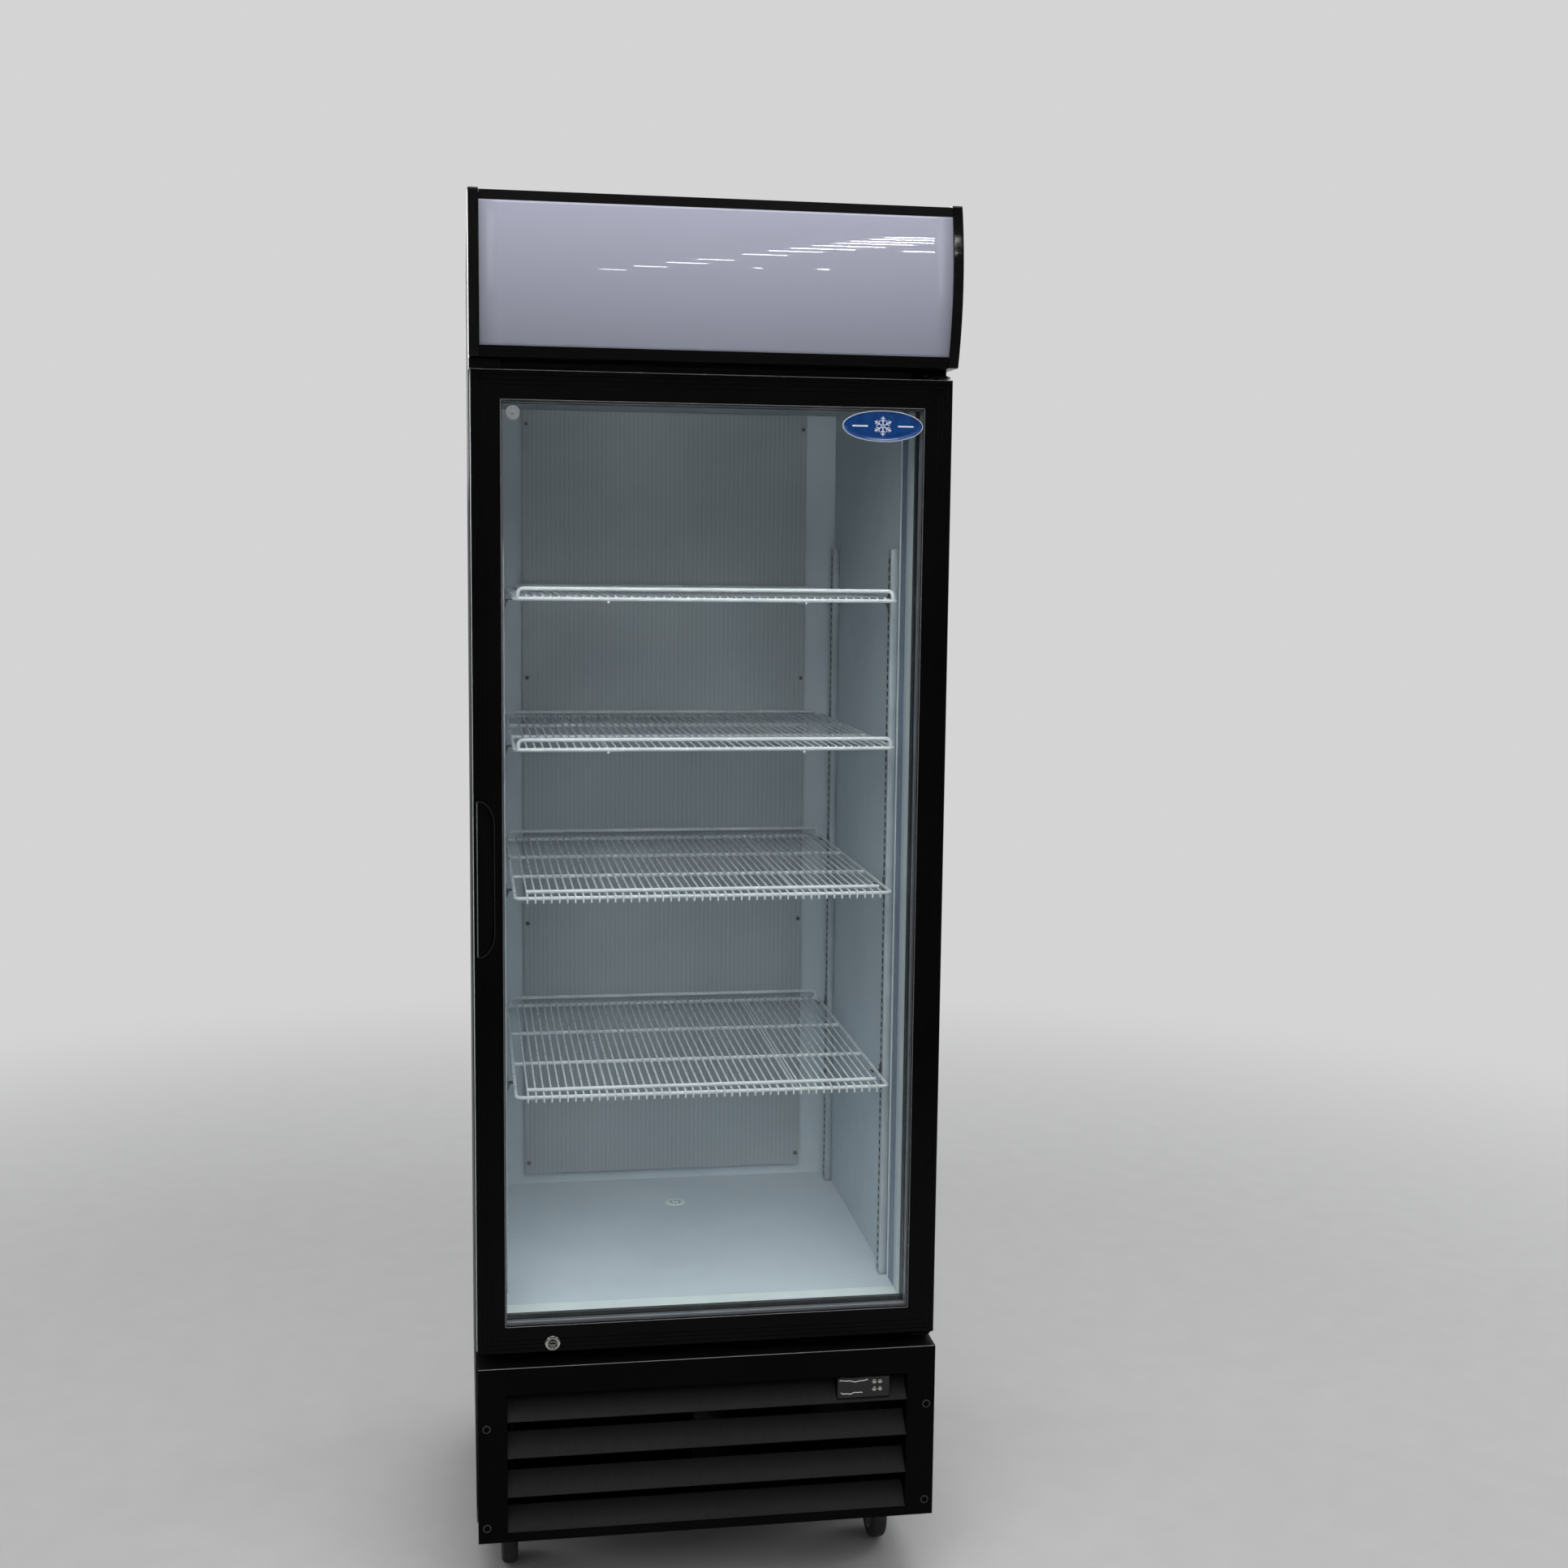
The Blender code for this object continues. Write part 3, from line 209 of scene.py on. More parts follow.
# ---------------------------------------------------------------- materials
class Look:
    """One Principled material, with the node moves that these finishes share."""

    def __init__(self, name, colour, roughness, metallic=0.0, specular=0.5):
        self.material = bpy.data.materials.new(name)
        self.material.use_nodes = True
        self.tree = self.material.node_tree
        self.shader = self.tree.nodes["Principled BSDF"]
        self.output = self.tree.nodes["Material Output"]
        self.socket("Base Color", (*colour, 1.0))
        self.socket("Roughness", roughness)
        self.socket("Metallic", metallic)
        self.socket("Specular IOR Level", specular)
        self.coords = self.node("ShaderNodeTexCoord").outputs["Object"]
        self.last_bump = None

    def node(self, kind):
        return self.tree.nodes.new(kind)

    def link(self, source, target):
        self.tree.links.new(source, target)

    def socket(self, name, value):
        self.shader.inputs[name].default_value = value

    def stretched(self, stretch):
        """The row's coordinates, scaled along each axis."""
        mapping = self.node("ShaderNodeMapping")
        mapping.inputs["Scale"].default_value = stretch
        self.link(self.coords, mapping.inputs["Vector"])
        return mapping.outputs["Vector"]

    def noise(self, scale, detail=4, stretch=(1, 1, 1), distortion=0.0):
        texture = self.node("ShaderNodeTexNoise")
        texture.inputs["Scale"].default_value = scale
        texture.inputs["Detail"].default_value = detail
        texture.inputs["Distortion"].default_value = distortion
        self.link(self.stretched(stretch), texture.inputs["Vector"])
        return texture.outputs["Fac"]

    def waves(self, period, axis, distortion=0.0):
        """Parallel ridges this far apart along an axis."""
        texture = self.node("ShaderNodeTexWave")
        texture.wave_type = "BANDS"
        texture.bands_direction = axis
        texture.inputs["Scale"].default_value = 0.314 / period
        texture.inputs["Distortion"].default_value = distortion
        texture.inputs["Detail Scale"].default_value = 2.0
        self.link(self.coords, texture.inputs["Vector"])
        return texture.outputs["Fac"]

    def cells(self, scale):
        texture = self.node("ShaderNodeTexVoronoi")
        texture.inputs["Scale"].default_value = scale
        self.link(self.coords, texture.inputs["Vector"])
        return texture.outputs["Color"]

    def between(self, source, low, high, start=0.35, end=0.65):
        """A value that runs from low to high as the source passes from start to end."""
        ranged = self.node("ShaderNodeMapRange")
        ranged.inputs["From Min"].default_value = start
        ranged.inputs["From Max"].default_value = end
        ranged.inputs["To Min"].default_value = low
        ranged.inputs["To Max"].default_value = high
        self.link(source, ranged.inputs["Value"])
        return ranged.outputs["Result"]

    def math(self, operation, *terms):
        """A sum on sources and plain numbers."""
        made = self.node("ShaderNodeMath")
        made.operation = operation
        for term, target in zip(terms, made.inputs):
            if isinstance(term, (int, float)):
                target.default_value = term
            else:
                self.link(term, target)
        return made.outputs[0]

    def axis(self, name):
        """The row's coordinate along X, Y or Z."""
        place = self.node("ShaderNodeSeparateXYZ")
        self.link(self.coords, place.inputs[0])
        return place.outputs[name]

    def within(self, name, low, high):
        """One where the row's coordinate is between low and high, nought outside."""
        return self.math("COMPARE", self.axis(name), (low + high) / 2, (high - low) / 2)

    def see_through(self, amount, tint, through_first):
        """Mixes the finish with plain transparency, in either order."""
        clear = self.node("ShaderNodeBsdfTransparent")
        clear.inputs["Color"].default_value = (*tint, 1)
        both = self.node("ShaderNodeMixShader")
        shaders = [clear, self.shader] if through_first else [self.shader, clear]
        self.link(amount, both.inputs[0])
        for shader, target in zip(shaders, (both.inputs[1], both.inputs[2])):
            self.link(shader.outputs[0], target)
        self.link(both.outputs[0], self.output.inputs["Surface"])

    def rough(self, source, low, high):
        self.link(self.between(source, low, high), self.shader.inputs["Roughness"])

    def colour(self, source, first, second, start=0.35, end=0.65):
        mix = self.node("ShaderNodeMix")
        mix.data_type = "RGBA"
        mix.inputs["A"].default_value = (*first, 1)
        mix.inputs["B"].default_value = (*second, 1)
        self.link(self.between(source, 0, 1, start, end), mix.inputs["Factor"])
        self.link(mix.outputs["Result"], self.shader.inputs["Base Color"])

    def bump(self, source, distance, strength):
        bump = self.node("ShaderNodeBump")
        bump.inputs["Distance"].default_value = distance
        bump.inputs["Strength"].default_value = strength
        self.link(source, bump.inputs["Height"])
        if self.last_bump is not None:
            self.link(self.last_bump, bump.inputs["Normal"])
        self.last_bump = bump.outputs["Normal"]
        self.link(self.last_bump, self.shader.inputs["Normal"])


def grey(value):
    return (value, value, value * 1.04)


def surface(name, first, second, low, high, tone, sheen, relief, **base):
    """Two tones, a roughness from low to high and a relief, each with its own noise."""
    look = Look(name, second, low, **base)
    look.colour(look.noise(*tone), first, second)
    look.rough(look.noise(*sheen), low, high)
    *grain, depth, strength = relief
    look.bump(look.noise(*grain), depth * MM, strength)
    return look


def powder_coat(name, dark, light, low, high, grain=900):
    """Black powder coat: orange peel, faint dust and uneven sheen."""
    return surface(name, grey(dark), grey(light), low, high, (5, 8), (9, 6),
                   (grain, 3, 0.15, 0.35), specular=0.06).material


def louvre_paint():
    """Black frame paint; on the slats inside the opening a lighter, streaked grey, painted light for
    their upward faces.
    """
    look = Look("louvre_paint", grey(0.012), 0.55, specular=0.05)
    # The slats' lighter grey is painted light for faces that look up, with streaks across it.
    opening = look.math("MULTIPLY", look.within("X", -SLATS_HALF, SLATS_HALF),
                        look.within("Z", SLATS_BOTTOM, SLATS_TOP))
    streaks = look.between(look.noise(60, 6, (9, 1, 0.6)), 0.82, 1.12)
    slat_light_and_streaks = look.math("MULTIPLY", opening, streaks)
    look.colour(slat_light_and_streaks, grey(0.0014), grey(0.0135), 0.0, 1.0)
    look.rough(look.noise(9, 6), 0.50, 0.68)
    look.bump(look.noise(1400, 3), 0.12 * MM, 0.35)
    look.bump(look.noise(500, 2, (3, 1, 0.15)), 0.05 * MM, 0.3)
    return look.material


def extrusion(name, stretch):
    """Black extruded door section, with die lines along its length."""
    return surface(name, grey(0.0016), grey(0.0021), 0.15, 0.21, (7, 8), (30, 5, stretch),
                   (420, 3, stretch, 0.06, 0.35), specular=0.06).material


def gloss_plastic(name):
    return surface(name, grey(0.00208), grey(0.0039), 0.06, 0.11, (12, 6),
                   (45, 6, (1, 1, 1), 0.6), (60, 2, 0.12, 0.25), specular=0.28).material


def display_film():
    """Glossy printed film, slightly wavy as it was pressed on."""
    return surface("display_film", grey(0.0020), grey(0.0035), 0.03, 0.08, (40, 4), (70, 4),
                   (75, 2, (1, 1, 0.7), 0.4, 2.2, 0.8)).material


def embossed_liner(name, dark, light, axis, period):
    """Pale coated sheet with fine embossed lines."""
    look = Look(name, light, 0.42, specular=0.4)
    ridges = look.math("MULTIPLY_ADD", look.waves(period, axis, 0.4), 0.16, look.noise(3.5, 7))
    look.colour(ridges, dark, light, 0.35, 0.80)
    look.rough(look.noise(26, 5), 0.36, 0.52)
    look.bump(look.waves(period, axis, 0.4), 0.20 * MM, 0.5)
    look.bump(look.noise(700, 2), 0.05 * MM, 0.3)
    return look.material


def coated_wire():
    return surface("coated_wire", (0.62, 0.65, 0.68), (0.70, 0.725, 0.75), 0.24, 0.42,
                   (22, 5), (90, 4), (260, 3, 0.12, 0.4)).material


def zinc(name, dark, light, low=0.28, high=0.46):
    """Galvanised sheet with its spangle."""
    look = Look(name, grey(light), low, metallic=0.9)
    look.colour(look.cells(110), grey(dark), grey(light), 0.1, 0.9)
    look.rough(look.noise(38, 6), low, high)
    look.bump(look.noise(240, 4), 0.05 * MM, 0.3)
    return look.material


def metal(name, colour, low, high, grain=150):
    darker = tuple(c * 0.8 for c in colour)
    return surface(name, darker, colour, low, high, (55, 5), (grain, 5),
                   (grain * 4, 3, 0.03, 0.25), metallic=1.0).material


def rubber(name, value):
    return surface(name, grey(value * 0.85), grey(value * 1.2), 0.62, 0.8, (40, 6), (70, 5),
                   (900, 3, 0.1, 0.4), specular=0.3).material


def plastic(name, colour, low=0.35, high=0.5, variation=0.9, specular=0.5):
    darker = tuple(c * variation for c in colour)
    return surface(name, darker, colour, low, high, (25, 6), (50, 5),
                   (500, 3, 0.05, 0.3), specular=specular).material


GLASS_IOR = 1.45


def pane_glass():
    """Clear glazing: mostly see-through, with a gloss that grows at grazing angles."""
    look = Look("pane_glass", (0.9, 0.93, 0.95), 0.02, metallic=1.0)
    look.rough(look.noise(6, 5), 0.012, 0.03)
    look.bump(look.noise(3.0, 2), 0.4 * MM, 0.10)
    facing = look.node("ShaderNodeFresnel")
    behind = look.node("ShaderNodeNewGeometry").outputs["Backfacing"]
    # The same reflection from either side, so light enters at steep angles too.
    look.link(look.between(behind, GLASS_IOR, 1 / GLASS_IOR, 0.0, 1.0), facing.inputs["IOR"])
    look.see_through(facing.outputs[0], (0.955, 0.972, 0.972), True)
    return look.material


def sign_lens():
    """Unlit opal acrylic, lavender grey, with painted shade that makes it a little darker towards
    the bottom.
    """
    look = Look("sign_lens", (0.445, 0.456, 0.610), 0.09, specular=0.5)
    low, high = span("header_lens")
    # The colour darkens from top to bottom: painted shade for light that falls from above.
    look.colour(look.axis("Z"), (0.205, 0.212, 0.263), (0.238, 0.244, 0.300), low.z, high.z)
    look.rough(look.noise(8, 5), 0.015, 0.03)
    look.bump(look.noise(9, 2), 0.25 * MM, 0.12)
    look.socket("Subsurface Weight", 0.08)
    look.socket("Subsurface Radius", (0.004, 0.004, 0.005))
    return look.material


def lamp_white():
    return surface("lamp_white", (0.76, 0.77, 0.78), (0.86, 0.87, 0.88), 0.25, 0.4,
                   (30, 5), (80, 4), (300, 3, 0.03, 0.2)).material


def badge_blue():
    """Deep blue print under a clear coat."""
    look = surface("badge_blue", (0.0015, 0.022, 0.10), (0.003, 0.032, 0.135), 0.12, 0.24,
                   (90, 5), (40, 4), (120, 2, 0.03, 0.2))
    look.socket("Coat Weight", 0.6)
    look.socket("Coat Roughness", 0.06)
    return look.material


LOOKS = {
    "case": powder_coat("case_paint", 0.0024, 0.0028, 0.365, 0.395),
    "louvre": louvre_paint(),
    "stile": extrusion("door_stile_black", (1, 1, 0.02)),
    "rail": extrusion("door_rail_black", (0.02, 1, 1)),
    "gloss": gloss_plastic("trim_gloss_black"),
    "cup": plastic("cup_black", (0.0016, 0.0016, 0.0017), 0.34, 0.38, 0.9, 0.16),
    "liner": embossed_liner(
        "liner_sheet", (0.58, 0.645, 0.70), (0.71, 0.77, 0.82), "Y", 9 * MM),
    "duct": embossed_liner(
        "duct_sheet", (0.34, 0.375, 0.40), (0.46, 0.50, 0.525), "X", 8 * MM),
    "breaker": plastic("breaker_white", (0.80, 0.87, 0.86), 0.32, 0.45, 0.93),
    "wire": coated_wire(),
    "zinc": zinc("galvanised_sheet", 0.44, 0.54),
    "pilaster": plastic("pilaster_coated", (0.50, 0.555, 0.60), 0.3, 0.45, 0.85),
    "clip": zinc("clip_zinc", 0.20, 0.32, 0.35, 0.5),
    "chrome": metal("polished_chrome", (0.56, 0.545, 0.52), 0.08, 0.18),
    "satin": metal("satin_chrome", (0.26, 0.25, 0.24), 0.16, 0.28),
    "fins": metal("fin_aluminium", (0.58, 0.60, 0.62), 0.3, 0.5, 60),
    "spacer": plastic("spacer_grey", (0.085, 0.088, 0.095), 0.3, 0.45, 0.85),
    "steel": metal("screw_steel", (0.42, 0.41, 0.40), 0.25, 0.4, 400),
    "rubber": rubber("gasket_rubber", 0.045),
    "tread": rubber("caster_tread", 0.030),
    "foam": plastic("foam_cream", (0.70, 0.62, 0.42), 0.8, 0.95, 0.85),
    "glass": pane_glass(),
    "lens": sign_lens(),
    "lamp": lamp_white(),
    "blue": badge_blue(),
    "print": plastic("badge_print_white", (0.42, 0.45, 0.52), 0.2, 0.32, 0.94),
    "compressor": powder_coat("compressor_enamel", 0.008, 0.013, 0.22, 0.36, 300),
    # Near-black for holes, slots, gaps and recesses: painted shadow.
    "shadow": plastic("painted_shadow_black", (0.0008, 0.0008, 0.0008), 0.5, 0.7, 0.6, 0.05),
    "perforation": plastic("perforation_grey", (0.86, 0.90, 0.96), 0.4, 0.55, 0.9),
    "screen": display_film(),
    # Blue-grey band at each wall's front edge: painted shadow of a recess.
    "band": plastic("painted_recess_shadow_blue", (0.24, 0.30, 0.40), 0.35, 0.5, 0.9),
    "coil_black": zinc("coil_black_paint", 0.006, 0.010, 0.5, 0.7),
    # Much darker zinc for the machine bay's pan and fan frame: painted shade.
    "shaded_zinc": zinc("painted_shade_zinc", 0.030, 0.050, 0.5, 0.7),
    "fork": zinc("fork_zinc", 0.070, 0.100, 0.36, 0.5),
    # Light grey for the creases of the thermostat's film: painted glints.
    "film_edge": plastic("painted_film_glint_grey", (0.62, 0.63, 0.65), 0.08, 0.2, 0.9),
    # Grey wires that stand for lit edges and rims: painted highlights.
    "edge": plastic("painted_edge_highlight", (0.13, 0.13, 0.135), 0.2, 0.3, 0.8),
    "faint": plastic("faint_painted_highlight", (0.030, 0.030, 0.031), 0.2, 0.3, 0.8, 0.3),
    "plug": plastic("plug_grey", (0.16, 0.17, 0.18), 0.3, 0.45, 0.8),
    "hub": plastic("hub_grey", (0.10, 0.10, 0.105), 0.4, 0.55, 0.8),
}


# ------------------------------------------------------------- mesh helpers
def piece(name, bm, looks, body=CABINET, replaces=(), bevel=0.0, angle=38):
    """Turns a bmesh into a named piece that rides on a CAD body."""
    bmesh.ops.recalc_face_normals(bm, faces=bm.faces)
    mesh = bpy.data.meshes.new(name)
    bm.to_mesh(mesh)
    bm.free()
    for look in [looks] if isinstance(looks, str) else looks:
        mesh.materials.append(LOOKS[look])
    mesh.shade_smooth()
    mesh.set_sharp_from_angle(angle=radians(angle))
    obj = bpy.data.objects.new(name, mesh)
    scene.collection.objects.link(obj)
    if bevel:
        round_edges(obj, bevel, angle)
    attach(obj, body)
    if replaces:
        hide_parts(*replaces)
    return obj


def round_edges(obj, width, angle):
    edges = obj.modifiers.new("rounded_edges", "BEVEL")
    edges.width = width
    edges.segments = 3
    edges.limit_method = "ANGLE"
    edges.angle_limit = radians(angle)
    edges.use_clamp_overlap = True
    edges.harden_normals = True
    flat = obj.modifiers.new("flat_faces", "WEIGHTED_NORMAL")
    flat.weight = 100
    flat.keep_sharp = False


def block(bm, low, high, material=0):
    low, high = Vector(low), Vector(high)
    made = bmesh.ops.create_cube(bm, size=1.0)["verts"]
    bmesh.ops.scale(bm, vec=high - low, verts=made)
    bmesh.ops.translate(bm, vec=(low + high) / 2, verts=made)
    for face in {face for vert in made for face in vert.link_faces}:
        face.material_index = material


def bridge(bm, rings, material=0):
    """Joins each closed ring of vertices to the next with quads."""
    for first, second in zip(rings, rings[1:]):
        for k in range(len(first)):
            n = (k + 1) % len(first)
            bm.faces.new((first[k], first[n], second[n], second[k])).material_index = material


def close_ends(bm, rings, material=0):
    """Closes the first and last of these rings."""
    for ring in (rings[0], rings[-1]):
        bm.faces.new(ring).material_index = material


def rounded(points, radius, steps=6, closed=False):
    """A polyline whose corners are arcs."""
    points = [Vector(p) for p in points]
    path = []
    for i, corner in enumerate(points):
        if not closed and i in (0, len(points) - 1):
            path.append(corner)
            continue
        to_last = (points[i - 1] - corner).normalized()
        to_next = (points[(i + 1) % len(points)] - corner).normalized()
        half = to_last.angle(to_next) / 2
        centre = corner + (to_last + to_next).normalized() * radius / sin(half)
        start = corner + to_last * radius / tan(half) - centre
        end = corner + to_next * radius / tan(half) - centre
        sweep_angle = start.angle(end)
        for k in range(steps + 1):
            t = k / steps
            weights = sin((1 - t) * sweep_angle), sin(t * sweep_angle)
            path.append(centre + (start * weights[0] + end * weights[1]) / sin(sweep_angle))
    return path


def wire(bm, points, radius, up=(0, 0, 1), sides=8, closed=False, material=0):
    """A round wire along a path, with flat ends unless it is closed."""
    points = [Vector(p) for p in points]
    count = len(points)
    normal = Vector(up)
    rings = []
    for i, point in enumerate(points):
        before = points[i - 1] if i or closed else point
        after = points[(i + 1) % count] if i < count - 1 or closed else point
        along = (after - before).normalized()
        normal = (normal - along * normal.dot(along)).normalized()
        side = along.cross(normal)
        ring = []
        for k in range(sides):
            turn = 2 * pi * (k + 0.5) / sides
            ring.append(bm.verts.new(point + radius * (cos(turn) * normal + sin(turn) * side)))
        rings.append(ring)
    if closed:
        bridge(bm, rings + rings[:1], material)
    else:
        bridge(bm, rings, material)
        close_ends(bm, rings, material)


def axes_of(normal):
    """Two directions across a normal."""
    normal = Vector(normal).normalized()
    across = normal.orthogonal().normalized()
    return normal, across, normal.cross(across)


def lathe(bm, profile, at, axis, steps=24, material=0):
    """Turns a profile of (radius, distance along the axis) about an axis."""
    normal, across, other = axes_of(axis)
    at = Vector(at)
    rings = []
    for radius, distance in profile:
        centre = at + normal * distance
        if radius < 1e-7:
            rings.append([bm.verts.new(centre)])
            continue
        rings.append([
            bm.verts.new(centre + radius * (cos(a) * across + sin(a) * other))
            for a in (2 * pi * k / steps for k in range(steps))])
    for first, second in zip(rings, rings[1:]):
        for k in range(steps):
            n = (k + 1) % steps
            corners = [first[k % len(first)], first[n % len(first)],
                       second[n % len(second)], second[k % len(second)]]
            unique = list(dict.fromkeys(corners))
            if len(unique) > 2:
                bm.faces.new(unique).material_index = material


def slab(bm, outline, low, high, axis="Y", material=0):
    """An outline extruded along an axis; (x, z) for Y, (y, z) for X, (x, y) for Z."""
    def put(u, v, w):
        return {"X": (w, u, v), "Y": (u, w, v), "Z": (u, v, w)}[axis]
    rings = [[bm.verts.new(put(u, v, end)) for u, v in outline] for end in (low, high)]
    bridge(bm, rings, material)
    close_ends(bm, rings, material)


def arc(centre, radius_u, radius_v, start, end, steps):
    turns = [radians(start + (end - start) * k / steps) for k in range(steps + 1)]
    return [(centre[0] + radius_u * cos(t), centre[1] + radius_v * sin(t)) for t in turns]


def screw_head(bm, at, normal, radius):
    """A pan head with a crossed recess, painted as shadow by the second material."""
    height = radius * 0.45
    lathe(bm, [
        (radius, 0), (radius * 0.97, height * 0.45), (radius * 0.8, height * 0.8),
        (radius * 0.45, height), (0, height)], at, normal, 16)
    normal, across, other = axes_of(normal)
    for along, side in ((across, other), (other, across)):
        middle = Vector(at) + normal * height * 0.98
        rings = [[bm.verts.new(middle + normal * out + along * s * radius * 0.55
                               + side * t * radius * 0.12)
                  for s, t in ((-1, -1), (1, -1), (1, 1), (-1, 1))]
                 for out in (-0.04 * height, 0.06 * height)]
        bridge(bm, rings, 1)
        close_ends(bm, rings, 1)


def sunk_screw(bm, at, radius):
    """A countersunk head, flush with the sheet behind: a disc, with its rim gap and crossed recess
    painted as shadow by the second material.
    """
    flush = 0.03 * MM
    lathe(bm, [(0, -0.3 * MM), (radius * 1.22, -0.3 * MM), (radius * 1.22, 0.01 * MM),
               (0, 0.01 * MM)], at, (0, 1, 0), 20, 1)
    lathe(bm, [(0, 0), (radius, 0), (radius, flush), (0, flush)], at, (0, 1, 0), 20, 0)
    for width, height in ((0.62, 0.14), (0.14, 0.62)):
        reach = Vector((radius * width, 0, radius * height))
        block(bm, Vector(at) - reach, Vector(at) + reach + Vector((0, 0.04 * MM, 0)), 1)


# ------------------------------------------------------- finishes of CAD nodes
NODE_LOOKS = {
    "case": ["outer_case", "header_housing", "hinge_top", "hinge_bottom"],
    "gloss": ["top_trim_strip", "evaporator_fan_motor", "evaporator_fan_blade",
              "condenser_fan_blade", "power_inlet"],
    "stile": ["door_stile_handle", "door_stile_hinge"],
    "rail": ["door_rail_top", "door_rail_bottom"],
    "louvre": ["front_grille"],
    "liner": ["inner_liner"],
    "breaker": ["breaker_frame"],
    "duct": ["air_duct_panel", "evaporator_cover"],
    "zinc": ["rear_panel", "rear_cover"],
    "shaded_zinc": ["base_pan", "condenser_fan_frame"],
    "fins": ["evaporator_coil"],
    "rubber": ["door_gasket"],
    "foam": ["insulation_foam"],
    "compressor": ["compressor"],
}
SOFTENED = {
    "outer_case": 0.8, "front_grille": 0.35, "door_stile_handle": 0.35,
    "door_stile_hinge": 0.35, "door_rail_top": 0.35, "door_rail_bottom": 0.35,
    "header_housing": 0.3, "top_trim_strip": 0.6, "breaker_frame": 0.5,
    "hinge_top": 0.4, "hinge_bottom": 0.4,
}


def finish_cad_nodes():
    for look, nodes in NODE_LOOKS.items():
        for name in nodes:
            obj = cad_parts[name]
            obj.data.materials.clear()
            obj.data.materials.append(LOOKS[look])
            weld = obj.modifiers.new("weld", "WELD")
            weld.merge_threshold = 0.00001
            if name in SOFTENED:
                round_edges(obj, SOFTENED[name] * MM, 25)
            else:
                crease = obj.modifiers.new("crease", "EDGE_SPLIT")
                crease.split_angle = radians(30)
            obj.data.shade_smooth()


# -------------------------------------------------------------------- shelves
WIRE_R = 2.9 * MM
DECK_R = 1.5 * MM
DECK_PITCH = 11.7 * MM
LIP_RISE = 14.5 * MM


def build_shelf(number):
    """A coated wire shelf: frame, deck wires, cross bars, a lip and a binding bar."""
    node = f"shelf_{number}"
    low, high = span(node)
    lip_in_front = number <= 2
    bar_z = low.z + 3.0 * MM
    x_out = high.x - WIRE_R
    lip_y, free_y = low.y + WIRE_R, high.y - WIRE_R
    if not lip_in_front:
        lip_y, free_y = free_y, lip_y
    inward = 1 if lip_in_front else -1
    bm = bmesh.new()

    corners = [(-x_out, lip_y, bar_z), (x_out, lip_y, bar_z),
               (x_out, free_y, bar_z), (-x_out, free_y, bar_z)]
    wire(bm, rounded(corners, 9 * MM, 5, closed=True), WIRE_R, closed=True, sides=10)

    lip_x = x_out - 5 * MM
    lip = [(-lip_x, lip_y, bar_z), (-lip_x, lip_y, bar_z + LIP_RISE),
           (lip_x, lip_y, bar_z + LIP_RISE), (lip_x, lip_y, bar_z)]
    wire(bm, rounded(lip, 8 * MM, 5), WIRE_R, up=(0, 1, 0), sides=10)

    deck_z = bar_z + WIRE_R + DECK_R - 0.6 * MM
    count = int((2 * x_out - 26 * MM) / DECK_PITCH) + 1
    first_x = -(count - 1) * DECK_PITCH / 2
    past_y = free_y + inward * (WIRE_R + 0.9 * MM)
    for k in range(count):
        x = first_x + k * DECK_PITCH
        path = [(x, lip_y - inward * 0.5 * MM, deck_z), (x, past_y, deck_z),
                (x, past_y, bar_z - 6.6 * MM)]
        wire(bm, rounded(path, 2.4 * MM, 4), DECK_R, up=(1, 0, 0), sides=6)

    for share in (0.34, 0.67):
        y = lip_y + (free_y - lip_y) * share
        z = deck_z - DECK_R - WIRE_R + 0.6 * MM
        wire(bm, [(-x_out, y, z), (x_out, y, z)], WIRE_R, sides=10)
    bar_x = (count - 1) * DECK_PITCH / 2 + 1.5 * MM
    y = free_y - inward * 15 * MM
    z = deck_z + DECK_R + WIRE_R - 0.6 * MM
    wire(bm, [(-bar_x, y, z), (bar_x, y, z)], WIRE_R, sides=10)
    for x in (-0.145, 0.145):
        wire(bm, [(x, lip_y - inward * 2.2 * MM, bar_z - 4.0 * MM),
                  (x, free_y, bar_z - 4.0 * MM)], 2.0 * MM, up=(1, 0, 0), sides=8)
    piece(f"wire_{node}", bm, "wire", replaces=[node])


# ------------------------------------------------------------------ pilasters
SLOT_PITCH = 12.7 * MM
SLOT_HIGH = 8.2 * MM


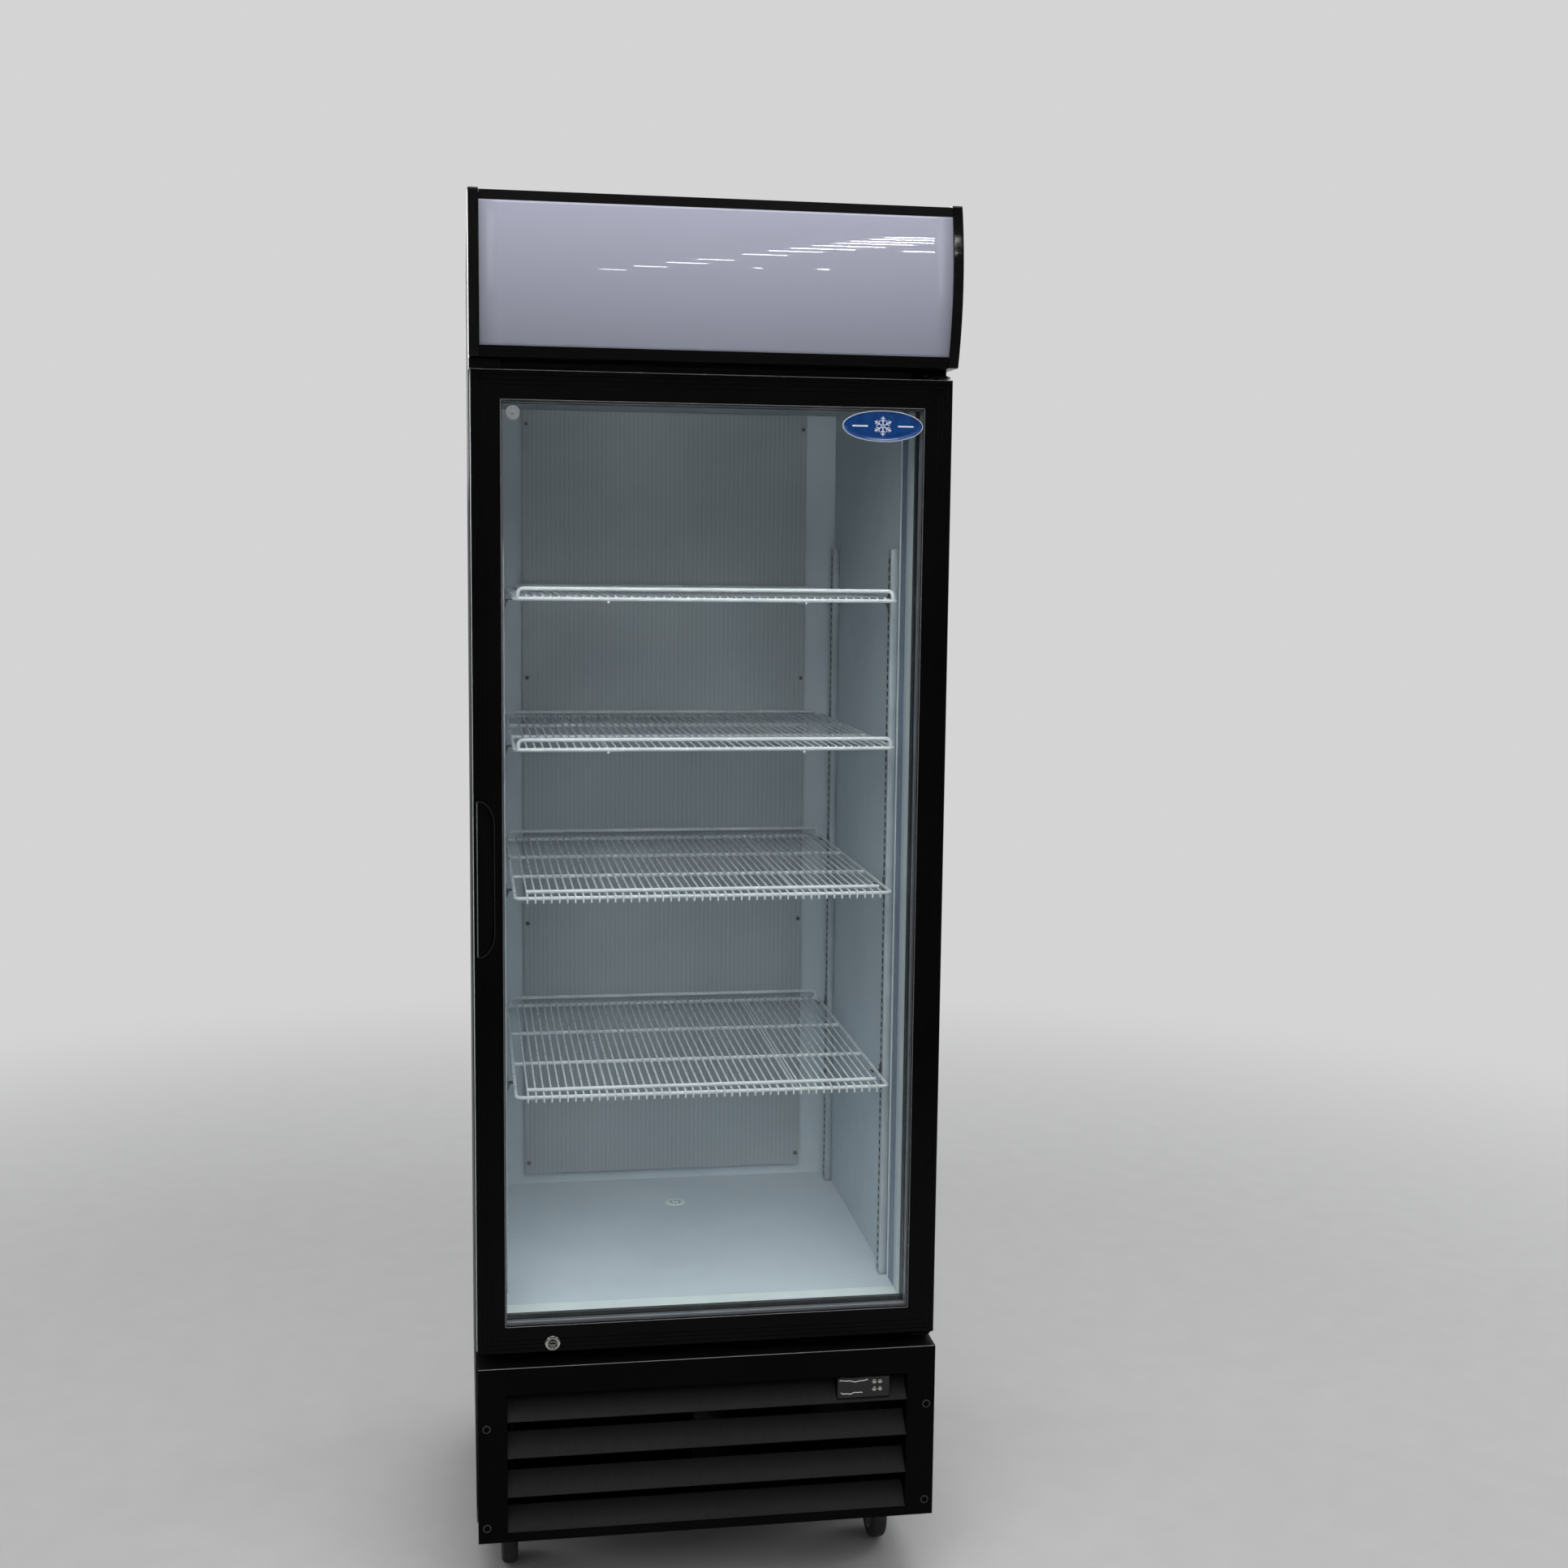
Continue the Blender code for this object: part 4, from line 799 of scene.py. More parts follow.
def build_pilaster(end, side):
    """A slotted channel on the side wall, with the clips that the shelves sit on."""
    node = f"pilaster_{end}_{side}"
    low, high = span(node)
    sign = -1 if side == "left" else 1
    wall = sign * (ROOM_HALF - 0.3 * MM)
    face = wall - sign * 11.7 * MM
    y0, y1 = low.y, high.y
    slot_y0 = y1 - 13.5 * MM
    slot_y1 = y1 - 4.5 * MM
    turn = 1.6 * MM
    section = [
        (wall, y0), (face + sign * turn, y0), (face + sign * turn * 0.3, y0 + turn * 0.3),
        (face, y0 + turn), (face, slot_y0), (face, slot_y1), (face, y1 - turn),
        (face + sign * turn * 0.3, y1 - turn * 0.3), (face + sign * turn, y1), (wall, y1),
    ]
    slot_column = 4
    bm = bmesh.new()
    heights = [low.z]
    z = low.z + 6 * MM
    while z + SLOT_HIGH < high.z - 3 * MM:
        heights += [z, z + SLOT_HIGH]
        z += SLOT_PITCH
    heights.append(high.z)
    rows = [[bm.verts.new((x, y, h)) for x, y in section] for h in heights]
    for r, (lower, upper) in enumerate(zip(rows, rows[1:])):
        for c in range(len(section) - 1):
            if c == slot_column and r % 2 == 1:
                continue
            bm.faces.new((lower[c], lower[c + 1], upper[c + 1], upper[c]))
    # A near-black strip inside the channel, behind the slots: painted shadow.
    core = sorted((face + sign * 0.7 * MM, face + sign * 2.0 * MM))
    block(bm, (core[0], y0 + 3 * MM, low.z + 1 * MM), (core[1], y1 - 3 * MM, high.z - 1 * MM), 1)
    obj = piece(f"slotted_{node}", bm, ["pilaster", "shadow"],
                replaces=[node])
    skin = obj.modifiers.new("sheet", "SOLIDIFY")
    skin.thickness = 0.5 * MM
    skin.offset = -1

    clips = bmesh.new()
    y_low, y_high = y0 + 4 * MM, y1 - 4 * MM
    for number in range(1, 5):
        top = span(f"shelf_{number}")[0].z - 0.2 * MM
        tip = face - sign * 15.5 * MM
        plate = 1.4 * MM
        outline = [
            (face - sign * 0.1 * MM, top + 9 * MM), (face - sign * plate, top + 9 * MM),
            (face - sign * plate, top), (tip + sign * plate, top),
            (tip + sign * plate, top + 0.1 * MM), (tip, top + 0.1 * MM), (tip, top - plate),
            (face - sign * 5 * MM, top - plate),
            (face - sign * plate, top - 11 * MM), (face - sign * 0.1 * MM, top - 13 * MM),
        ]
        slab(clips, outline, y_low, y_high, "Y")
    piece(f"shelf_clips_{end}_{side}", clips, "clip", bevel=0.3 * MM)


# --------------------------------------------------------------------- header
def bow_circle():
    """Centre and radius of the cap's bowed edge, from three of its vertices."""
    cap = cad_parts["header_end_cap_left"].data
    high = span("header_end_cap_left")[1]
    points = sorted({(round(v.co.z, 5), round(v.co.y, 6)) for v in cap.vertices})
    fronts = {}
    for z, y in points:
        fronts[z] = min(y, fronts.get(z, 1.0))
    heights = sorted(z for z in fronts if z < high.z - 3 * MM)
    picks = [heights[0], heights[len(heights) // 2], heights[-1]]
    (y1, z1), (y2, z2), (y3, z3) = [(fronts[z], z) for z in picks]
    d = 2 * (y1 * (z2 - z3) + y2 * (z3 - z1) + y3 * (z1 - z2))
    s1, s2, s3 = y1 * y1 + z1 * z1, y2 * y2 + z2 * z2, y3 * y3 + z3 * z3
    cy = (s1 * (z2 - z3) + s2 * (z3 - z1) + s3 * (z1 - z2)) / d
    cz = (s1 * (y3 - y2) + s2 * (y1 - y3) + s3 * (y2 - y1)) / d
    radius = ((y1 - cy) ** 2 + (z1 - cz) ** 2) ** 0.5
    return cy, cz, radius


BOW_Y, BOW_Z, BOW_RADIUS = bow_circle()


def bowed(z, depth=0.0):
    return (BOW_Y - (BOW_RADIUS ** 2 - (z - BOW_Z) ** 2) ** 0.5 + depth, z)


def build_header():
    """End caps, opal lens and light tube, rounder than the CAD's facets."""
    steps = 40
    for side in ("left", "right"):
        node = f"header_end_cap_{side}"
        a, b = span(node)
        heights = [a.z + (b.z - 4 * MM - a.z) * k / steps for k in range(steps + 1)]
        outline = [(b.y, a.z), *[bowed(z, 0.05 * MM) for z in heights]]
        front = outline[-1][0]
        outline += arc((front + 4 * MM, b.z - 4 * MM), 4 * MM, 4 * MM, 180, 90, 5)[1:]
        outline.append((b.y, b.z))
        bm = bmesh.new()
        slab(bm, outline, a.x, b.x, "X")
        piece(f"glossy_{node}", bm, "gloss", replaces=[node],
              bevel=1.1 * MM, angle=50)

    a, b = span("header_lens")
    lens_low, lens_high = a.z + 4 * MM, b.z - 4 * MM
    columns = 24
    bm = bmesh.new()
    grid = []
    for k in range(steps + 1):
        z = lens_low + (lens_high - lens_low) * k / steps
        y = bowed(z, 4.05 * MM)[0]
        grid.append([bm.verts.new((a.x + (b.x - a.x) * c / columns, y, z))
                     for c in range(columns + 1)])
    for lower, upper in zip(grid, grid[1:]):
        for c in range(columns):
            bm.faces.new((lower[c], lower[c + 1], upper[c + 1], upper[c]))
    lens = piece("bowed_lens", bm, "lens", replaces=["header_lens"])
    sheet = lens.modifiers.new("sheet", "SOLIDIFY")
    sheet.thickness = 1.9 * MM
    sheet.offset = 1

    tube_low, tube_high = span("header_light_tube")
    radius = (tube_high.z - tube_low.z) / 2 - 2 * MM
    middle = (tube_low.z + tube_high.z) / 2
    tube_y = tube_low.y + radius
    bm = bmesh.new()
    length = tube_high.x - tube_low.x
    lathe(bm, [
        (0, 0), (radius * 0.9, 0), (radius, 1 * MM), (radius, 18 * MM),
        (radius * 0.94, 19 * MM), (radius * 0.94, length - 19 * MM), (radius, length - 18 * MM),
        (radius, length - 1 * MM), (radius * 0.9, length), (0, length)],
        (tube_low.x, tube_y, middle), (1, 0, 0), 24)
    for x in (tube_low.x + 3 * MM, tube_high.x - 17 * MM):
        block(bm, (x, tube_y + radius * 0.5, middle - 10 * MM),
              (x + 14 * MM, tube_high.y, middle + 10 * MM))
    piece("light_tube", bm, "lamp", replaces=["header_light_tube"])


# ----------------------------------------------------------------------- door
def handle_outline(low, high, inset, steps=14):
    """D shape: straight outer edge, quarter-round inner corners."""
    left, right = low.x + inset, high.x - inset
    bottom, top = low.z + inset, high.z - inset
    reach_u, reach_v = right - left - 1.5 * MM, 36 * MM
    lower = arc((right - reach_u, bottom + reach_v), reach_u, reach_v, -90, 0, steps)
    upper = arc((right - reach_u, top - reach_v), reach_u, reach_v, 0, 90, steps)
    return [(left, bottom), *lower, *upper, (left, top)]


def build_handle():
    """The recessed finger pull, a lipped cup, with painted highlights along its grip edge."""
    low, high = span("handle_cup")
    bm = bmesh.new()
    levels = [
        (0.0, high.y), (0.0, low.y + 0.6 * MM), (0.25 * MM, low.y + 0.1 * MM),
        (0.8 * MM, low.y), (1.7 * MM, low.y + 0.1 * MM),
        (2.1 * MM, low.y + 0.7 * MM), (2.3 * MM, high.y - 4.5 * MM), (3.2 * MM, high.y - 2.2 * MM),
        (5.0 * MM, high.y - 1.6 * MM),
    ]
    rings = []
    for inset, y in levels:
        rings.append([bm.verts.new((u, y, v)) for u, v in handle_outline(low, high, inset)])
    bridge(bm, rings)
    close_ends(bm, rings)
    piece("finger_pull", bm, "cup", DOOR, ["handle_cup"], angle=50)

    # Grey wires round the grip and down its straight edge: painted highlights.
    bm = bmesh.new()
    grip = [Vector((u, low.y + 0.25 * MM, v)) for u, v in handle_outline(low, high, 0.9 * MM)]
    wire(bm, grip, 0.45 * MM, up=(0, 1, 0), sides=6, closed=True, material=1)
    wire(bm, [grip[-1] - Vector((0, 0, 1 * MM)), grip[0] + Vector((0, 0, 1 * MM))], 0.85 * MM,
         up=(0, 1, 0), sides=8)
    piece("finger_pull_highlights", bm, ["edge", "faint"], DOOR, angle=60)


def build_lock():
    """Chrome cam lock: a ringed body and a plug with a key slot and its cam."""
    low, high = span("lock_body")
    centre = Vector(((low.x + high.x) / 2, high.y, (low.z + high.z) / 2))
    depth = high.y - low.y
    radius = (high.x - low.x) / 2
    barrel = 8.5 * MM
    bm = bmesh.new()
    lathe(bm, [
        (6.4 * MM, 0), (barrel, 0), (barrel, depth - 2.6 * MM), (radius, depth - 2.2 * MM),
        (radius, depth - 1.5 * MM), (radius - 0.5 * MM, depth - 0.8 * MM),
        (radius - 1.6 * MM, depth - 0.2 * MM), (radius - 2.6 * MM, depth),
        (7.4 * MM, depth - 0.1 * MM), (6.7 * MM, depth - 0.6 * MM), (6.4 * MM, depth - 1.2 * MM),
        (6.4 * MM, 0)], centre, (0, -1, 0), 48)
    bmesh.ops.remove_doubles(bm, verts=bm.verts, dist=1e-6)
    piece("lock_ring", bm, "chrome", DOOR, ["lock_body"], angle=50)

    low, high = span("lock_plug")
    face = low.y
    bm = bmesh.new()
    back = high.y
    plug = 6.0 * MM
    at = (centre.x, back, centre.z)
    total = back - face
    lathe(bm, [
        (0, 0), (plug, 0), (plug, total - 0.9 * MM), (plug - 0.3 * MM, total - 0.3 * MM),
        (plug - 1.2 * MM, total), (0, total)], at, (0, -1, 0), 40)
    block(bm, (low.x, back - 2.4 * MM, centre.z - 4.5 * MM),
          (centre.x + 5.2 * MM, back - 0.01 * MM, centre.z + 4.5 * MM))
    ring = [(3.1 * MM, total - 0.05 * MM), (3.4 * MM, total + 0.10 * MM),
            (3.7 * MM, total - 0.05 * MM)]
    lathe(bm, ring, at, (0, -1, 0), 32)
    # The key slot is a near-black block: painted shadow.
    slot = Vector((4.2 * MM, 0, 1.0 * MM))
    middle = Vector((centre.x, face, centre.z))
    block(bm, middle - slot - Vector((0, 0.14 * MM, 0)), middle + slot + Vector((0, 0.5 * MM, 0)), 1)
    piece("lock_core", bm, ["satin", "shadow"], "lock", ["lock_plug"], angle=50)


def build_glazing():
    """Perforated spacer, painted highlights at the door's edges, the two panes and the plug disc."""
    low, high = span("glass_spacer")
    inner = Vector((43 * MM, 0, 43 * MM))
    hole_low, hole_high = DOOR_LOW + inner, DOOR_HIGH - inner
    bm = bmesh.new()
    bars = (
        ((low.x, low.z), (high.x, hole_low.z)), ((low.x, hole_high.z), (high.x, high.z)),
        ((low.x, hole_low.z), (hole_low.x, hole_high.z)),
        ((hole_high.x, hole_low.z), (high.x, hole_high.z)),
    )
    for (x0, z0), (x1, z1) in bars:
        block(bm, (x0, low.y, z0), (x1, high.y, z1))
    middle = low.y + 0.42 * (high.y - low.y)
    dot = 1.05 * MM
    pitch = 3.4 * MM
    wide = hole_high.x - hole_low.x
    tall = hole_high.z - hole_low.z
    profile = [(dot, 0), (dot * 0.6, 0.16 * MM), (0, 0.18 * MM)]
    for k in range(int(wide / pitch)):
        x = hole_low.x + (k + 0.5) * pitch
        for z, up in ((hole_low.z, 1), (hole_high.z, -1)):
            lathe(bm, profile, (x, middle, z), (0, 0, up), 6, 1)
    for k in range(int(tall / pitch)):
        z = hole_low.z + (k + 0.5) * pitch
        for x, up in ((hole_low.x, 1), (hole_high.x, -1)):
            lathe(bm, profile, (x, middle, z), (up, 0, 0), 6, 1)
    piece("perforated_spacer", bm, ["spacer", "perforation"], DOOR,
          ["glass_spacer"])

    # Grey wires round the glass opening and along the door's top edge: painted highlights of the
    # arrises.
    edge = 40.6 * MM
    corners = [(x, DOOR_LOW.y + 0.35 * MM, z) for x, z in (
        (DOOR_LOW.x + edge, DOOR_LOW.z + edge), (DOOR_HIGH.x - edge, DOOR_LOW.z + edge),
        (DOOR_HIGH.x - edge, DOOR_HIGH.z - edge), (DOOR_LOW.x + edge, DOOR_HIGH.z - edge))]
    bm = bmesh.new()
    wire(bm, rounded(corners, 1.2 * MM, 3, closed=True), 0.55 * MM, up=(0, 1, 0), sides=8,
         closed=True)
    inset, radius = 0.25 * MM, 0.5 * MM
    wire(bm, [(DOOR_LOW.x + 1 * MM, DOOR_LOW.y + inset, DOOR_HIGH.z - inset),
              (DOOR_HIGH.x - 1 * MM, DOOR_LOW.y + inset, DOOR_HIGH.z - inset)], radius)
    piece("glazing_edge_highlights", bm, "edge", DOOR)

    for pane in ("glass_outer", "glass_inner"):
        low, high = span(pane)
        bm = bmesh.new()
        front = [bm.verts.new((x, low.y, z)) for x, z in (
            (low.x, low.z), (high.x, low.z), (high.x, high.z), (low.x, high.z))]
        rim = [bm.verts.new((v.co.x, high.y, v.co.z)) for v in front]
        bm.faces.new(front)
        bridge(bm, [front, rim])
        piece(f"{pane}_pane", bm, "glass", DOOR, [pane])

    bm = bmesh.new()
    at = (PLUG_AT[0], PANE_LOW.y - 0.02 * MM, PLUG_AT[1])
    lathe(bm, [
        (0, 0), (9.6 * MM, 0), (10 * MM, 0.5 * MM), (9.2 * MM, 1.1 * MM), (7.6 * MM, 1.2 * MM),
        (7.2 * MM, 0.8 * MM), (3.0 * MM, 0.8 * MM), (2.4 * MM, 1.3 * MM), (0, 1.5 * MM)],
        at, (0, -1, 0), 32)
    piece("plug_disc", bm, "plug", DOOR)


def build_badge():
    """A domed blue oval with a pale rim and a plain snow crystal between two bars."""
    low, high = span("badge")
    centre = (low + high) / 2
    half_u, half_v = (high.x - low.x) / 2, (high.z - low.z) / 2
    steps = 72
    thick = high.y - low.y

    def ring(bm, inset, lift):
        u, v = half_u - inset, half_v - inset
        return [bm.verts.new((centre.x + u * cos(t), high.y - lift, centre.z + v * sin(t)))
                for t in (2 * pi * k / steps for k in range(steps))]

    bm = bmesh.new()
    rim = [ring(bm, 0, 0), ring(bm, 0, thick * 0.5), ring(bm, 0.3 * MM, thick * 0.85),
           ring(bm, 0.7 * MM, thick * 0.9), ring(bm, 1.1 * MM, thick * 0.8)]
    bridge(bm, rim, 1)
    bm.faces.new(rim[0]).material_index = 1
    dome = [rim[-1], ring(bm, 1.3 * MM, thick * 0.68), ring(bm, 8 * MM, thick * 0.84),
            ring(bm, 15 * MM, thick * 0.9)]
    bridge(bm, dome)
    bm.faces.new(dome[-1]).material_index = 0

    y0, y1 = high.y - thick * 0.80, high.y - thick * 0.99

    def stroke(start, end, width):
        start, end = Vector(start), Vector(end)
        along = (end - start).normalized()
        side = Vector((-along.y, along.x)) * width / 2
        outline = [start - side, end - side, end + along * width * 0.4, end + side, start + side]
        slab(bm, [(centre.x + p.x, centre.z + p.y) for p in outline], y1, y0, "Y", 1)

    arm = 13.5 * MM
    for k in range(6):
        turn = radians(90 + 60 * k)
        out = Vector((cos(turn), sin(turn)))
        stroke(out * 1.2 * MM, out * arm, 1.5 * MM)
        for share, reach in ((0.45, 4.6 * MM), (0.72, 3.2 * MM)):
            for bend in (-1, 1):
                tip = Vector((cos(turn + bend * radians(55)), sin(turn + bend * radians(55))))
                stroke(out * arm * share, out * arm * share + tip * reach, 1.1 * MM)
    for side in (-1, 1):
        stroke((side * 22 * MM, 0), (side * 44 * MM, 0), 2.2 * MM)
    piece("oval_badge", bm, ["blue", "print"], DOOR, ["badge"], angle=60)


# ------------------------------------------------------------------- interior
def build_interior():
    """Drain, duct screws, sill band, corner trims with a band of painted shadow, and the ceiling
    lamp.
    """
    bm = bmesh.new()
    lathe(bm, [
        (0, 0.02 * MM), (17.5 * MM, 0.02 * MM), (17.5 * MM, 0.8 * MM), (16 * MM, 1.6 * MM),
        (13 * MM, 1.9 * MM), (12.6 * MM, 1.2 * MM), (4 * MM, 1.2 * MM), (3.4 * MM, 1.9 * MM),
        (0, 2.0 * MM)], (*DRAIN_AT, ROOM_FLOOR), (0, 0, 1), 36)
    # The drain's eight holes are near-black discs: painted shadow.
    for k in range(8):
        turn = 2 * pi * k / 8
        x, y = DRAIN_AT[0] + 8.6 * MM * cos(turn), DRAIN_AT[1] + 8.6 * MM * sin(turn)
        lathe(bm, [(1.9 * MM, 1.19 * MM), (1.7 * MM, 1.24 * MM), (0, 1.24 * MM)],
              (x, y, ROOM_FLOOR), (0, 0, 1), 10, 1)
    piece("drain_cover", bm, ["breaker", "shadow"])

    bm = bmesh.new()
    for x in DUCT_SCREW_X:
        for z in DUCT_SCREW_Z:
            screw_head(bm, (x, PANEL_LOW.y, z), (0, -1, 0), 4.2 * MM)
    piece("duct_screws", bm, ["steel", "shadow"])

    bm = bmesh.new()
    front = span("breaker_frame")[1].y
    block(bm, (-ROOM_HALF + 0.5 * MM, front + 0.2 * MM, ROOM_FLOOR),
          (ROOM_HALF - 0.5 * MM, SILL_BACK_Y, ROOM_FLOOR + 1.1 * MM))
    piece("floor_sill_band", bm, "breaker", bevel=0.4 * MM)

    bm = bmesh.new()
    top = span("evaporator_cover")[0].z - 2 * MM
    for sign in (-1, 1):
        wall = sign * (ROOM_HALF - 0.1 * MM)
        inner = wall - sign * 1.6 * MM
        # Per wall: a white strip, a blue-grey band of painted recess shadow, and a white strip
        # behind it.
        strips = ((front + 0.3 * MM, TRIM_BACK_Y, 0, inner),
                  (BAND_FRONT_Y, BAND_BACK_Y, 1, wall - sign * 0.4 * MM),
                  (BAND_BACK_Y, BAND_BACK_Y + 5 * MM, 0, inner))
        for y0, y1, look, edge in strips:
            block(bm, (min(wall, edge), y0, ROOM_FLOOR + 1.2 * MM),
                  (max(wall, edge), y1, top), look)
    piece("wall_edge_trim", bm, ["breaker", "band"])

    low, high = span("interior_light")
    bm = bmesh.new()
    middle_y = (low.y + high.y) / 2
    half = (high.y - low.y) / 2
    outline = [(high.y, high.z), *arc((middle_y, high.z - 4 * MM), half, 10.4 * MM, 0, -180, 12),
               (low.y, high.z)]
    slab(bm, outline, low.x + 6 * MM, high.x - 6 * MM, "X")
    for x in (low.x, high.x - 6 * MM):
        block(bm, (x, low.y, low.z), (x + 6 * MM, high.y, high.z), 1)
    piece("ceiling_lamp", bm, ["lamp", "breaker"], replaces=["interior_light"])


# ----------------------------------------------------------------- controller
def build_controller():
    """The thermostat: a glossy body, painted glints for the creases of its film, and four domed
    keys.
    """
    low, high = span("controller_housing")
    bm = bmesh.new()
    face = low.y
    block(bm, (low.x, face + 0.6 * MM, low.z), high)
    piece("controller_body", bm, "screen", replaces=["controller_housing"],
          bevel=2.0 * MM)

    # Light grey wavy wires on the film: painted glints where its creases catch the light.
    bm = bmesh.new()
    glint_paths = ((high.z - 6.5 * MM, 3 * MM, 46 * MM, 0.6), (low.z + 8 * MM, 5 * MM, 38 * MM, 2.4))
    for z, start, end, phase in glint_paths:
        path = []
        for k in range(25):
            along = k / 24
            ripple = 1.1 * MM * sin(7 * along + phase) + 0.5 * MM * sin(19 * along + phase)
            path.append((low.x + start + (end - start) * along, face + 0.5 * MM, z + ripple))
        wire(bm, path, 0.5 * MM, up=(0, 1, 0), sides=6)
    piece("display_film_glints", bm, "film_edge")

    for number in range(1, 5):
        node = f"button_{number}"
        low, high = span(node)
        at = ((low.x + high.x) / 2, high.y, (low.z + high.z) / 2)
        depth = high.y - low.y
        radius = (high.x - low.x) / 2
        bm = bmesh.new()
        lathe(bm, [
            (0, 0), (radius, 0), (radius, depth - 1.3 * MM), (radius * 0.93, depth - 0.6 * MM),
            (radius * 0.72, depth - 0.15 * MM), (radius * 0.4, depth - 0.02 * MM), (0, depth)],
            at, (0, -1, 0), 28)
        piece(f"domed_{node}", bm, "chrome", node, [node], angle=60)


# --------------------------------------------------------------------- screws
def build_screws():
    """Fasteners too small for the CAD, a painted highlight along the grille's top edge and the seam
    at the back.
    """
    bm = bmesh.new()
    # Each grille screw: a faint grey rim as painted highlight round a near-black centre as painted
    # shadow.
    for x, z in [(x, z) for x in GRILLE_SCREW_X for z in GRILLE_SCREW_Z]:
        at = (x, GRILLE_LOW.y + 0.02 * MM, z)
        lathe(bm, [(6.2 * MM, 0.02 * MM), (6.0 * MM, 0.25 * MM), (4.6 * MM, 0.3 * MM),
                   (4.2 * MM, 0.1 * MM), (0, 0.08 * MM)], at, (0, -1, 0), 20)
        lathe(bm, [(4.6 * MM, 0.1 * MM), (4.4 * MM, 0.32 * MM), (0, 0.33 * MM)],
              at, (0, -1, 0), 20, 1)
    piece("grille_screws", bm, ["faint", "shadow"])

    # A grey wire along the grille's top front edge: a painted highlight of the lit sheet edge.
    highlight_radius = 0.6 * MM
    bm = bmesh.new()
    deep = highlight_radius * 0.6
    wire(bm, [(GRILLE_LOW.x + 1 * MM, GRILLE_LOW.y + deep, GRILLE_HIGH.z - deep),
              (GRILLE_HIGH.x - 1 * MM, GRILLE_LOW.y + deep, GRILLE_HIGH.z - deep)], highlight_radius)
    piece("grille_top_highlight", bm, "edge")

    low, high = span("hinge_top")
    bm = bmesh.new()
    for x in (0.303, 0.326, 0.334):
        screw_head(bm, (x, low.y + 9 * MM, high.z - 9 * MM), (0, 0, 1), 2.6 * MM)
    piece("hinge_screws", bm, ["steel", "shadow"])

    low, high = span("rear_panel")
    bm = bmesh.new()
    rows = 7
    edge = 14 * MM
    for k in range(rows):
        z = low.z + edge + (high.z - low.z - 2 * edge) * k / (rows - 1)
        for x in (low.x + edge, high.x - edge):
            sunk_screw(bm, (x, high.y, z), 3.9 * MM)
    low, high = span("rear_cover")
    for x in (low.x + edge, 0.0, high.x - edge):
        for z in (low.z + 10 * MM, high.z - 10 * MM):
            sunk_screw(bm, (x, high.y, z), 3.9 * MM)
    seam = 0.8 * MM
    block(bm, (low.x + 2 * MM, high.y - 0.3 * MM, high.z - seam),
          (high.x - 2 * MM, high.y + 0.02 * MM, high.z + seam), 1)
    piece("rear_screws", bm, ["steel", "shadow"])


# ------------------------------------------------------------ condenser coil
def build_coil():
    """Black condenser: close fins on rows of tube, with return bends at the ends."""
    low, high = span("condenser_coil")
    bm = bmesh.new()
    inset = 12 * MM
    pitch = 2.6 * MM
    count = int((high.x - low.x - 2 * inset) / pitch)
    for k in range(count + 1):
        x = low.x + inset + k * (high.x - low.x - 2 * inset) / count
        block(bm, (x - 0.15 * MM, low.y + 1 * MM, low.z + 1 * MM),
              (x + 0.15 * MM, high.y - 1 * MM, high.z - 1 * MM))
    for x0 in (low.x + inset - 2 * MM, high.x - inset):
        block(bm, (x0, low.y, low.z), (x0 + 2 * MM, high.y, high.z))
    rows, columns = 8, 2
    for column in range(columns):
        y = low.y + (high.y - low.y) * (column + 0.5) / columns
        step = (high.z - low.z) / rows
        for row in range(0, rows, 2):
            z0, z1 = low.z + step * (row + 0.5), low.z + step * (row + 1.5)
            for x, out in ((low.x + inset, low.x + 4.6 * MM), (high.x - inset, high.x - 4.6 * MM)):
                bend = [(x, y, z0), (out, y, z0), (out, y, z1), (x, y, z1)]
                wire(bm, rounded(bend, 7 * MM, 4), 4 * MM, up=(0, 1, 0), sides=8)
    piece("finned_condenser", bm, "coil_black",
          replaces=["condenser_coil"])


